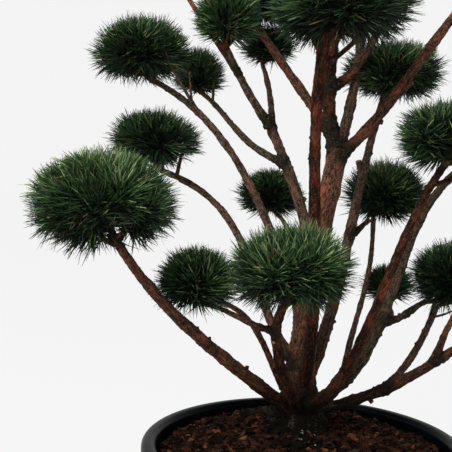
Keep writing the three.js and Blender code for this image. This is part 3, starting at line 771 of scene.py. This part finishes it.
def joined_mesh(name, points, loops, slots, finishes, smooth=True):
    """One piece made of many small four-cornered faces given as arrays."""
    count = len(loops) // 4
    mesh = bpy.data.meshes.new(name)
    mesh.vertices.add(len(points))
    mesh.vertices.foreach_set("co", np.ascontiguousarray(points, np.float32).ravel())
    mesh.loops.add(len(loops))
    mesh.loops.foreach_set("vertex_index", loops.astype(np.int32))
    mesh.polygons.add(count)
    mesh.polygons.foreach_set("loop_start", (np.arange(count) * 4).astype(np.int32))
    mesh.polygons.foreach_set("material_index", np.broadcast_to(slots, count).astype(np.int32))
    mesh.polygons.foreach_set("use_smooth", np.full(count, smooth))
    mesh.update(calc_edges=True)
    for finish in finishes:
        mesh.materials.append(finish)
    piece = bpy.data.objects.new(name, mesh)
    bpy.context.scene.collection.objects.link(piece)
    return piece


def twig_rod(points, radii, sides):
    """A thin tapering rod along a few points, open at its ends."""
    ring = spokes(unit(np.gradient(points, axis=0)), sides)
    corners = points[:, None] + ring * radii[:, None, None]
    return corners.reshape(-1, 3), tube_faces(len(points), sides).reshape(-1)


def pad_stem(tip, way, middle):
    """Points of the stem that turns up from a bough's tip into its pad."""
    turn = np.linalg.norm(middle - tip) * STEM_TURN
    elbow = tip + way * turn
    share = np.linspace(0, 1, STEM_POINTS)[:, None]
    return (1 - share) ** 2 * tip + 2 * share * (1 - share) * elbow + share ** 2 * middle


def pad_branches(stem, middle, half, rng):
    """A few branches that fork from a pad's stem and sag a little."""
    ways = spread_directions(BRANCH_COUNT, rng)
    ways[:, 2] = np.abs(ways[:, 2]) * BRANCH_RISE[0] - BRANCH_RISE[1]
    share = np.linspace(0, 1, BRANCH_POINTS)[:, None]
    branches = []
    for order, way in enumerate(ways):
        fork = stem[order % STEM_FORKS]
        end = middle + way * half * BRANCH_REACH
        sag = np.array([0.0, 0.0, -BRANCH_SAG * np.linalg.norm(end - fork)])
        branches.append(fork * (1 - share) + end * share + sag * (4 * share * (1 - share)))
    return np.array(branches)


def shoot_twig(branches, base, tip, axis):
    """Points from the nearest place on a branch to a shoot's base and tip."""
    gaps = np.linalg.norm(branches[:, 1:-1] - base, axis=2)
    near = np.unravel_index(gaps.argmin(), gaps.shape)
    fork = branches[near[0], near[1] + 1]
    knee = base - axis * TWIG_KNEE
    return np.array([fork, fork * TWIG_BEND[0] + knee * TWIG_BEND[1], knee, base, tip])


def shoot_tips(middle, half, rng):
    """Where a pad's shoots end: most near its outline, the last ones inside."""
    faces = 2 * (half[0] * half[2]) ** AREA_POWER + (half[0] * half[1]) ** AREA_POWER
    count = round(4 * math.pi * (faces / 3) ** (1 / AREA_POWER) * SHOOTS_PER_AREA)
    ways = spread_directions(count, rng)
    start, rate, most = THINNING
    ways = ways[rng.uniform(0, 1, count) > np.clip((-ways[:, 2] - start) * rate, 0, most)]
    full = ways * pad_half(ways[:, 2], half)
    depth = TUFT_DEPTH + rng.normal(0, TUFT_DEPTH_SPREAD, len(ways))
    share = np.clip(1 - depth / np.linalg.norm(full, axis=1), *TIP_SHARES)
    outer = middle + full * share[:, None]
    sink = np.minimum((outer[:, 2] - middle[2]) / half[2], 0)
    outer[:, :2] = middle[:2] + (outer[:, :2] - middle[:2]) * (1 + PAD_TAPER * sink[:, None])
    ways = spread_directions(round(len(ways) * INNER_SHARE), rng)
    ways[:, 2] = np.abs(ways[:, 2]) * INNER_LIFT
    inner = middle + ways * pad_half(ways[:, 2], half) * rng.uniform(*INNER_REACH, (len(ways), 1))
    return np.concatenate([outer, inner]), len(outer)


def shoot_axes(tips, middle, heart, rng):
    """Which way each shoot points: out from the pad's heart, then up or down."""
    axes = unit(tips - heart)
    axes[:, 2] += np.where(tips[:, 2] < middle[2], SHOOT_FALL, SHOOT_LIFT)
    return unit(axes + rng.normal(0, SHOOT_SPREAD, axes.shape))


def tuft_needles(name, middle, half, bases, axes, shoots, rng):
    """Each needle's root, heading, length, shoot, and how deep it is buried."""
    share = np.tile(np.linspace(FIRST_NEEDLE, 1.0, NEEDLES_PER_SHOOT), len(bases))
    owner = np.repeat(np.arange(len(bases)), NEEDLES_PER_SHOOT)
    pair = np.tile(np.arange(NEEDLES_PER_SHOOT) // 2, len(bases))
    count = len(share)
    around = pair * GOLDEN_TURN + rng.normal(0, NEEDLE_TURN_SPREAD, count) + owner
    open_angle = NEEDLE_OPEN - NEEDLE_CLOSE * share + rng.normal(0, NEEDLE_OPEN_SPREAD, count)
    open_angle = np.radians(open_angle)[:, None]
    one, other = square_to(axes)
    radial = one[owner] * np.cos(around)[:, None] + other[owner] * np.sin(around)[:, None]
    heading = axes[owner] * np.cos(open_angle) + radial * np.sin(open_angle)
    heading = unit(heading + rng.normal(0, NEEDLE_WAY_SPREAD, heading.shape))
    roots = bases[owner] + axes[owner] * (shoots[owner] * share)[:, None] + radial * NEEDLE_SEAT
    lengths = rng.uniform(*NEEDLE_LENGTH, count)
    ragged = np.interp(heading[:, 2], RAGGED_AT, RAGGED_BY) * EDGE_RAGGED
    room = way_out(roots, heading, middle, half)
    room = room * (EDGE_SHARE + ragged * rng.uniform(0, 1, count) ** EDGE_POWER)
    spread, least, most = TUFT_ROOM
    room *= np.clip(rng.normal(1, spread, len(bases)), least, most)[owner]
    lengths = np.minimum(lengths, room)
    buried = np.clip((room - lengths) / NEEDLE_LENGTH[1] * BURIED_SHADE, 0, 1)
    kept = lengths > SHORTEST_NEEDLE
    if name in OPENINGS:
        place, wide, top, low = OPENINGS[name]
        spot = (roots + heading * lengths[:, None] * OPENING_AT - middle) / half
        gap = (np.abs(spot[:, 0] - place) < wide) & (spot[:, 2] < top) & (spot[:, 2] > low)
        kept &= ~gap | (rng.uniform(0, 1, count) < OPENING_KEPT)
    return roots[kept], heading[kept], lengths[kept], owner[kept], buried[kept]


def needle_strips(roots, ways, lengths, rng):
    """Two narrow faces for each needle, bent, twisted and tapering to its end."""
    count = len(roots)
    across = unit(np.cross(ways, rng.normal(size=(count, 3))))
    twist = rng.uniform(-NEEDLE_TWIST, NEEDLE_TWIST, (count, 1))
    aside = np.cross(ways, across)
    turned = across * np.cos(twist) + aside * np.sin(twist)
    half = NEEDLE_WIDTH / 2 * rng.uniform(*NEEDLE_WIDTH_RANGE, (count, 1))
    ends = roots + ways * lengths[:, None]
    bend = aside * rng.normal(0, NEEDLE_BEND, (count, 1)) * lengths[:, None]
    knees = roots + (ends - roots) * NEEDLE_KNEE + bend
    foot_half = across * half * NEEDLE_FOOT
    knee_half = (across + turned) * half * 0.5
    end_half = turned * half * NEEDLE_TAPER
    corners = np.stack([roots - foot_half, roots + foot_half, knees + knee_half,
                        knees - knee_half, ends + end_half, ends - end_half], axis=1)
    faces = np.array([(0, 1, 2, 3), (3, 2, 4, 5)])
    loops = np.arange(count)[:, None, None] * 6 + faces[None]
    return corners.reshape(-1, 3), loops.reshape(-1)


def needle_greens(light, lift, axes, outer, owner, buried, rng):
    """Finish numbers of each needle's foot, a step darker as painted shade, and of its end."""
    along, up = TUFT_LIGHT_RISE
    # Painted light on high and upward tufts, painted shade on inner tufts and buried needles
    mood = lift * along + axes[:, 2] * up + rng.normal(0, TUFT_LIGHT_SPREAD, len(axes))
    mood += light
    mood[outer:] = INNER_LIGHT
    tint = (mood[owner] + TUFT_LIGHT - BURIED_SHADE * buried
            + rng.normal(0, NEEDLE_LIGHT_SPREAD, len(owner)))
    own = np.digitize(tint, GREEN_STEPS)
    # Paler ends, more of them high in the pad, are partly painted highlights; each foot is a step
    # darker, as painted shade
    start, rate, most = PALER_SHARES
    paler = rng.uniform(0, 1, len(own)) < np.clip(start + lift[owner] * rate, 0, most)
    greens = np.stack([np.maximum(own - 1, 0), own + (paler & (own < len(GREEN_STEPS)))], axis=1)
    greens[rng.uniform(0, 1, len(own)) < YELLOWED_SHARE] = YELLOWED
    return greens.reshape(-1)


def needle_finish(name, colour, rough):
    """Waxy needles of one plain green, a little duller here and there."""
    finish, shader, start = new_finish(name, specular=0.28)
    shader.inputs["Base Color"].default_value = tone(*colour)
    wire(shader, "Roughness", start.place().cloud(180.0, 2.0) * 0.2 + (rough - 0.1))
    return finish


# Greens from painted shade to painted light; the pale tips are partly painted highlights
needle_finishes = [
    needle_finish("needles_shaded", (11, 19, 8), 0.6),
    needle_finish("needles_deep_green", (21, 38, 19), 0.55),
    needle_finish("needles_blue_green", (36, 62, 36), 0.5),
    needle_finish("needles_green", (57, 86, 45), 0.5),
    needle_finish("needles_light_green", (86, 114, 68), 0.5),
    needle_finish("needles_pale_tips_and_highlights", (146, 162, 110), 0.55),
    needle_finish("needles_yellowed", (112, 92, 52), 0.6),
]
twig_finish = bark_finish("twig_bark", (62, 46, 38), (104, 62, 42), (120, 96, 78), 0.2)

twig_rods = []
bud_places = []
bud_ways = []
for number, (name, bough, width, depth, height, out) in enumerate(PADS):
    rng = np.random.default_rng(number + 1)
    tip = paths[bough][3]
    middle = tip + np.array(out) * MM
    half = np.array([width, depth, height]) * MM / 2
    heart = middle - np.array([0.0, 0.0, half[2] * HEART_SINK])
    radius = girths[bough][1] / 2
    tips, outer = shoot_tips(middle, half, rng)
    axes = shoot_axes(tips, middle, heart, rng)
    shoots = rng.uniform(*SHOOT_LENGTH, len(tips))
    shoots = np.minimum(shoots, np.linalg.norm(tips - heart, axis=1) * LONGEST_SHOOT)
    bases = tips - axes * shoots[:, None]

    stem = pad_stem(tip, heading_on(paths[bough], 1.0), middle)
    stem_radii = radius * (1 - STEM_TAPER * np.linspace(0, 1, STEM_POINTS))
    twig_rods.append(twig_rod(stem, stem_radii, STEM_SIDES))
    branches = pad_branches(stem, middle, half, rng)
    branch_radii = np.linspace(radius * BRANCH_FOOT, BRANCH_TIP, BRANCH_POINTS)
    twig_rods += [twig_rod(branch, branch_radii, BRANCH_SIDES) for branch in branches]
    twig_radii = np.linspace(TWIG_FOOT, TWIG_TIP, 5)
    twig_rods += [twig_rod(shoot_twig(branches, *ends), twig_radii, TWIG_SIDES)
                  for ends in zip(bases, tips, axes)]

    roots, heading, lengths, owner, buried = tuft_needles(
        name, middle, half, bases, axes, shoots, rng)
    points, loops = needle_strips(roots, heading, lengths, rng)
    # How high each tuft is in its pad, for painted light on top
    lift = (tips[:, 2] - middle[2]) / half[2]
    light = LIT_PADS.get(name, PLAIN_PAD_LIGHT)
    greens = needle_greens(light, lift, axes, outer, owner, buried, rng)
    pad = joined_mesh(name + "_sprays", points, loops, greens, needle_finishes)
    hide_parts(name)
    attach(pad, "root")

    budding = rng.uniform(0, 1, len(tips)) < BUD_SHARE
    bud_places.append(tips[budding])
    bud_ways.append(axes[budding])

points = np.concatenate([corners for corners, faces in twig_rods])
first = np.cumsum([0] + [len(corners) for corners, faces in twig_rods[:-1]])
loops = np.concatenate([faces + start for start, (corners, faces) in zip(first, twig_rods)])
twigs = joined_mesh("pad_twigs", points, loops, 0, [twig_finish])
tell(twigs, "bark_place", "FLOAT_VECTOR", "vector", points)
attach(twigs, "root")


# Winter buds
# Pointed resinous buds, red-brown with paler scales, at the end of about one
# shoot in three. Each is a small spindle, and all are joined into one piece.

BUD_LENGTH = 0.009
BUD_RADIUS = 0.0019
BUD_SIDES = 5
BUD_PROFILE = [(0.0, 0.55), (0.3, 1.0), (0.65, 0.75), (0.9, 0.3), (1.0, 0.03)]


def bud_finish(name, colour):
    """Thin papery scales with a little resin shine."""
    finish, shader, start = new_finish(name)
    scales = start.place().cloud(900.0, 3.0).between(0.35, 0.65)
    wire(shader, "Base Color", scales.blend(scaled_tone(colour, 0.6), tone(*colour)))
    return finish


centres = np.concatenate(bud_places)
ways = np.concatenate(bud_ways)
ring = spokes(ways, BUD_SIDES)
corners = np.stack([(centres + ways * BUD_LENGTH * rise)[:, None] + ring * BUD_RADIUS * spread
                    for rise, spread in BUD_PROFILE], axis=1)
count, rows = corners.shape[:2]
first = np.arange(count)[:, None, None, None] * rows * BUD_SIDES
loops = (first + tube_faces(rows, BUD_SIDES)).reshape(-1)
rng = np.random.default_rng(71)
slots = np.repeat(rng.integers(0, 2, count), (rows - 1) * BUD_SIDES)
buds = joined_mesh("buds", corners.reshape(-1, 3), loops, slots,
                   [bud_finish("bud_red_brown", (132, 72, 50)),
                    bud_finish("bud_orange", (176, 106, 66))])
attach(buds, "root")


# Nursery pot
# Black polypropylene, blow moulded, with straight tapering sides, a flat
# underside and a thick rolled lip that is smooth and faintly glossy.

POT_RADIUS = 0.250
POT_HEIGHT = 0.400
POT_FOOT_RADIUS = 0.196
POT_WALL = 0.004
POT_FLOOR = 0.006
WALL_TOP_RADIUS = 0.236
LIP_WIDTH = 0.022
LIP_DEPTH = 0.030
LIP_ROUND = 0.009
LIP_ROUND_STEPS = 8
LIP_EDGE_IN = 0.0015
LIP_EDGE_UP = 0.003
FOOT_ROUND = 0.004
POT_FACETS = 128
SHARP_EDGE = math.radians(35)


def extrude_ring(rise, scale):
    """Extrudes the selected face, moves it up and scales it about the axis."""
    bpy.ops.mesh.extrude_region_move(TRANSFORM_OT_translate={"value": (0, 0, rise)})
    bpy.ops.transform.resize(value=(scale, scale, 1))


wall_height = POT_HEIGHT - LIP_DEPTH
bpy.ops.mesh.primitive_cone_add(vertices=POT_FACETS, radius1=POT_FOOT_RADIUS,
                                radius2=WALL_TOP_RADIUS, depth=wall_height,
                                location=(0, 0, wall_height / 2))
pot = bpy.context.object
pot.name = "nursery_pot"
bpy.ops.object.transform_apply(location=True, rotation=True, scale=True)
bpy.ops.object.mode_set(mode="EDIT")
bpy.ops.mesh.select_mode(type="FACE")
bpy.ops.mesh.select_all(action="DESELECT")
bpy.ops.object.mode_set(mode="OBJECT")
for face in pot.data.polygons:
    face.select = abs(face.center.z - wall_height) < CLOSE and abs(face.normal.z) > 0.9
bpy.ops.object.mode_set(mode="EDIT")
extrude_ring(0.0, (POT_RADIUS - LIP_EDGE_IN) / WALL_TOP_RADIUS)
extrude_ring(LIP_EDGE_UP, POT_RADIUS / (POT_RADIUS - LIP_EDGE_IN))
extrude_ring(LIP_DEPTH - LIP_EDGE_UP, 1.0)
extrude_ring(0.0, (POT_RADIUS - LIP_WIDTH) / POT_RADIUS)
extrude_ring(POT_FLOOR - POT_HEIGHT, (POT_FOOT_RADIUS - POT_WALL) / (POT_RADIUS - LIP_WIDTH))
bpy.ops.object.mode_set(mode="OBJECT")
bevel_share = pot.data.attributes.new("bevel_weight_edge", "FLOAT", "EDGE")
for edge in pot.data.edges:
    ends = [pot.data.vertices[index].co for index in edge.vertices]
    if abs(ends[0].xy.length - ends[1].xy.length) > CLOSE * 10:
        continue
    if all(abs(end.z - POT_HEIGHT) < CLOSE for end in ends):
        bevel_share.data[edge.index].value = 1.0
    if all(end.z < CLOSE for end in ends):
        bevel_share.data[edge.index].value = FOOT_ROUND / LIP_ROUND
rounding = pot.modifiers.new("rounding", "BEVEL")
rounding.limit_method = "WEIGHT"
rounding.width = LIP_ROUND
rounding.segments = LIP_ROUND_STEPS
bpy.ops.object.modifier_apply(modifier=rounding.name)
bpy.ops.object.shade_smooth_by_angle(angle=SHARP_EDGE)
pot.select_set(False)

plastic, shader, start = new_finish("black_plastic", specular=0.06)
place = start.place()
haze = place.cloud(9.0, 4.0)
grain = place.cloud(700.0, 3.0)
drawn = place.stretched((1.0, 1.0, 6.0)).cloud(60.0, 4.0)
dust = (haze + drawn * 0.4).between(0.62, 0.95) * 0.5
wire(shader, "Base Color", dust.blend(tone(3, 5, 8), tone(12, 16, 20)))
wire(shader, "Roughness", 0.26 + haze * 0.12 + dust * 0.2)
roughen(shader, grain + drawn * 0.8, 0.25, 0.0004)
pot.data.materials.append(plastic)
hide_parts("pot")
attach(pot, "root")


# Soil and bark mulch
# Dark moist potting soil, mounded up to the root crown and covered with
# shards of composted bark. White perlite grains lie near the crown.

SOIL_EDGE_HEIGHT = 0.376
SOIL_MOUND_HEIGHT = 0.402
SOIL_EDGE_RADIUS = 0.2255
SOIL_MOUND_RADIUS = 0.078
CHIP_COUNT = 7000
CHIP_REACH = SOIL_EDGE_RADIUS - 0.007
CHIP_CLEAR = SOIL_EDGE_RADIUS - 0.002
CHIP_LENGTH = (0.005, 0.020)
CHIP_WIDTH = (0.35, 0.7)
CHIP_THICKNESS = (0.0015, 0.004)
CHIP_TILT = 0.33
CHIP_LAYER = (-0.001, 0.007)
THIN_EDGE = 0.04
THINNEST_LAYER = 0.15
CHIP_KINDS = [0.42, 0.27, 0.21, 0.06, 0.04]
MOSSY_KIND = 5
MOSSY_CHANCE = (0.1, 1.2)
CORNER_KNOCK = 0.17
PERLITE_COUNT = 13
PERLITE_SPREAD = 0.016
PERLITE_SIZE = (0.0018, 0.0034)
PERLITE_LAYER = (0.004, 0.008)
PERLITE_TILT = 0.3

# Middles in x and y, and for the dark patch its half sizes
PERLITE_PLACE = (-0.006, 0.002)
DARK_PATCH = (-0.004, 0.030, 0.055, 0.085)


def soil_height(x, y):
    """The soil's height, on straight lines from its edge to the mound's."""
    run = SOIL_EDGE_RADIUS - SOIL_MOUND_RADIUS
    a = ROOT_CROWN[0] ** 2 + ROOT_CROWN[1] ** 2 - run ** 2
    b = -2 * (x * ROOT_CROWN[0] + y * ROOT_CROWN[1] - SOIL_EDGE_RADIUS * run)
    c = x * x + y * y - SOIL_EDGE_RADIUS ** 2
    share = (-b + np.sqrt(np.maximum(b * b - 4 * a * c, 0))) / (2 * a)
    share = np.clip(share, 0, 1)
    return SOIL_EDGE_HEIGHT + (SOIL_MOUND_HEIGHT - SOIL_EDGE_HEIGHT) * share


def scatter_shards(count, radius, rng):
    """Places spread over a disc of the soil."""
    reach = radius * np.sqrt(rng.uniform(0, 1, count))
    turn = rng.uniform(0, 2 * math.pi, count)
    return reach * np.cos(turn), reach * np.sin(turn)


def shard_boxes(centres, sizes, turns, tilts, rng):
    """Rough six-sided shards, turned, tilted and with their corners knocked."""
    base = np.array([(x, y, z) for z in (-1, 1) for y in (-1, 1) for x in (-1, 1)]) / 2
    corners = base[None] + rng.uniform(-CORNER_KNOCK, CORNER_KNOCK, (len(centres), 8, 3))
    corners *= sizes[:, None]
    tilt = corners[:, :, 0] * tilts[:, :1] + corners[:, :, 1] * tilts[:, 1:]
    corners[:, :, 2] += tilt
    x = corners[:, :, 0] * np.cos(turns)[:, None] - corners[:, :, 1] * np.sin(turns)[:, None]
    y = corners[:, :, 0] * np.sin(turns)[:, None] + corners[:, :, 1] * np.cos(turns)[:, None]
    placed = np.stack([x, y, corners[:, :, 2]], axis=2) + centres[:, None]
    faces = np.array([(0, 2, 3, 1), (4, 5, 7, 6), (0, 1, 5, 4), (2, 6, 7, 3), (0, 4, 6, 2),
                      (1, 3, 7, 5)])
    loops = np.arange(len(centres))[:, None, None] * 8 + faces[None]
    return placed.reshape(-1, 3), loops.reshape(-1)


def shard_finish(name, colour):
    """Fibrous bark with darker pores."""
    finish, shader, start = new_finish(name, specular=0.06)
    fibre = start.place().cloud(260.0, 5.0, 0.7)
    pores = fibre.between(0.34, 0.62)
    wire(shader, "Base Color", pores.blend(scaled_tone(colour, 0.3), tone(*colour)))
    wire(shader, "Roughness", 0.98 - fibre * 0.15)
    roughen(shader, fibre, 0.8, 0.0015)
    return finish


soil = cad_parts["soil"]
soil.data.materials.clear()
soil.data.materials.append(shard_finish("dark_soil", (22, 15, 11)))

rng = np.random.default_rng(5)
x, y = scatter_shards(CHIP_COUNT, CHIP_REACH, rng)
length = rng.uniform(*CHIP_LENGTH, CHIP_COUNT) * rng.uniform(0.5, 1.0, CHIP_COUNT)
sizes = np.stack([length, length * rng.uniform(*CHIP_WIDTH, CHIP_COUNT),
                  rng.uniform(*CHIP_THICKNESS, CHIP_COUNT)], axis=1)
clear = np.hypot(x, y) + length / 2 < CHIP_CLEAR
x, y, sizes = x[clear], y[clear], sizes[clear]
count = len(x)
layer = rng.uniform(*CHIP_LAYER, count)
layer *= np.clip((SOIL_EDGE_RADIUS - np.hypot(x, y)) / THIN_EDGE, THINNEST_LAYER, 1)
centres = np.stack([x, y, soil_height(x, y) + layer], axis=1)
points, loops = shard_boxes(centres, sizes, rng.uniform(0, 2 * math.pi, count),
                            rng.normal(0, CHIP_TILT, (count, 2)), rng)
kinds = rng.choice(len(CHIP_KINDS), count, p=CHIP_KINDS)
near = np.hypot((x - DARK_PATCH[0]) / DARK_PATCH[2], (y - DARK_PATCH[1]) / DARK_PATCH[3])
kinds = np.where(rng.uniform(*MOSSY_CHANCE, count) > near, MOSSY_KIND, kinds)
mulch = joined_mesh("bark_mulch", points, loops, np.repeat(kinds, 6), [
    shard_finish("mulch_dark", (27, 17, 11)),
    shard_finish("mulch_brown", (56, 34, 21)),
    shard_finish("mulch_red_brown", (76, 40, 26)),
    shard_finish("mulch_tan", (122, 74, 46)),
    shard_finish("mulch_grey", (68, 56, 44)),
    shard_finish("mulch_mossy", (26, 25, 19)),
], smooth=False)
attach(mulch, "root")

spread = rng.normal(0, PERLITE_SPREAD, (PERLITE_COUNT, 2))
x = PERLITE_PLACE[0] + spread[:, 0]
y = PERLITE_PLACE[1] + spread[:, 1]
sizes = rng.uniform(*PERLITE_SIZE, (PERLITE_COUNT, 3))
layer = rng.uniform(*PERLITE_LAYER, PERLITE_COUNT)
centres = np.stack([x, y, soil_height(x, y) + layer], axis=1)
points, loops = shard_boxes(centres, sizes, rng.uniform(0, 6, PERLITE_COUNT),
                            rng.normal(0, PERLITE_TILT, (PERLITE_COUNT, 2)), rng)
white_grain, shader, start = new_finish("perlite", 0.9)
grain = start.place().cloud(900.0)
wire(shader, "Base Color", grain.blend(tone(96, 90, 82), tone(192, 186, 176)))
perlite = joined_mesh("perlite_grains", points, loops, 0, [white_grain], smooth=False)
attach(perlite, "root")


# Studio
# A pale floor under a pale sky that is dimmer overhead, one broad soft lamp
# above and to the left, and the camera where the photographer stood.

CAMERA_PLACE = (-0.13025, -1.35425, 0.85025)
CAMERA_LENS = 71.68
CAMERA_FALL = math.radians(5.1)
CAMERA_ROLL = math.radians(1.81)
FLOOR_RADIUS = 14
FLOOR_GLOW = 0.86
SKY_GLOW = 0.9
ZENITH_GLOW = 0.35
DIMMING = (0.45, 0.8)
LAMP_PLACE = Vector((-1.3, -1.4, 3.0))
LAMP_AIM = Vector((0, 0.05, 0.9))
LAMP_SIZE = 2.4
LAMP_POWER = 105

bpy.ops.mesh.primitive_circle_add(vertices=96, radius=FLOOR_RADIUS, fill_type="NGON")
floor = bpy.context.object
floor.name = "floor"
pale, shader, start = new_finish("pale_floor", 1.0, 0.0)
shader.inputs["Base Color"].default_value = tone(70, 70, 70)
shader.inputs["Emission Color"].default_value = (1, 1, 1, 1)
shader.inputs["Emission Strength"].default_value = FLOOR_GLOW
floor.data.materials.append(pale)
floor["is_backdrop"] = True

sky = bpy.data.worlds.new("pale_sky")
sky.use_nodes = True
backdrop = sky.node_tree.nodes["Background"]
backdrop.inputs["Color"].default_value = (1, 1, 1, 1)
gaze = Shade(sky.node_tree).node("ShaderNodeTexCoord", {}, {}, 0)
glow = SKY_GLOW - gaze.height().between(*DIMMING) * (SKY_GLOW - ZENITH_GLOW)
sky.node_tree.links.new(glow.socket, backdrop.inputs["Strength"])
bpy.context.scene.world = sky

lamp = bpy.data.lights.new("soft_lamp", "AREA")
lamp.shape = "DISK"
lamp.size = LAMP_SIZE
lamp.energy = LAMP_POWER
soft_lamp = bpy.data.objects.new("soft_lamp", lamp)
soft_lamp.location = LAMP_PLACE
soft_lamp.rotation_euler = (LAMP_AIM - LAMP_PLACE).to_track_quat("-Z", "Y").to_euler()
bpy.context.scene.collection.objects.link(soft_lamp)

ahead = Vector((0, math.cos(CAMERA_FALL), -math.sin(CAMERA_FALL)))
level_up = Vector((0, math.sin(CAMERA_FALL), math.cos(CAMERA_FALL)))
right = Vector((1, 0, 0)) * math.cos(CAMERA_ROLL) + level_up * math.sin(CAMERA_ROLL)
up = level_up * math.cos(CAMERA_ROLL) - Vector((1, 0, 0)) * math.sin(CAMERA_ROLL)
lens = bpy.data.cameras.new("camera")
lens.lens = CAMERA_LENS
lens.sensor_width = 36
lens.clip_end = 60
camera = bpy.data.objects.new("camera", lens)
camera.matrix_world = Matrix((
    (right.x, up.x, -ahead.x, CAMERA_PLACE[0]),
    (right.y, up.y, -ahead.y, CAMERA_PLACE[1]),
    (right.z, up.z, -ahead.z, CAMERA_PLACE[2]),
    (0, 0, 0, 1),
))
bpy.context.scene.collection.objects.link(camera)
bpy.context.scene.camera = camera
bpy.context.scene.view_settings.view_transform = "Standard"

sizes = {"cad": [list(corner) for corner in solid_box],
         "scene": [list(corner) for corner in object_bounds()]}
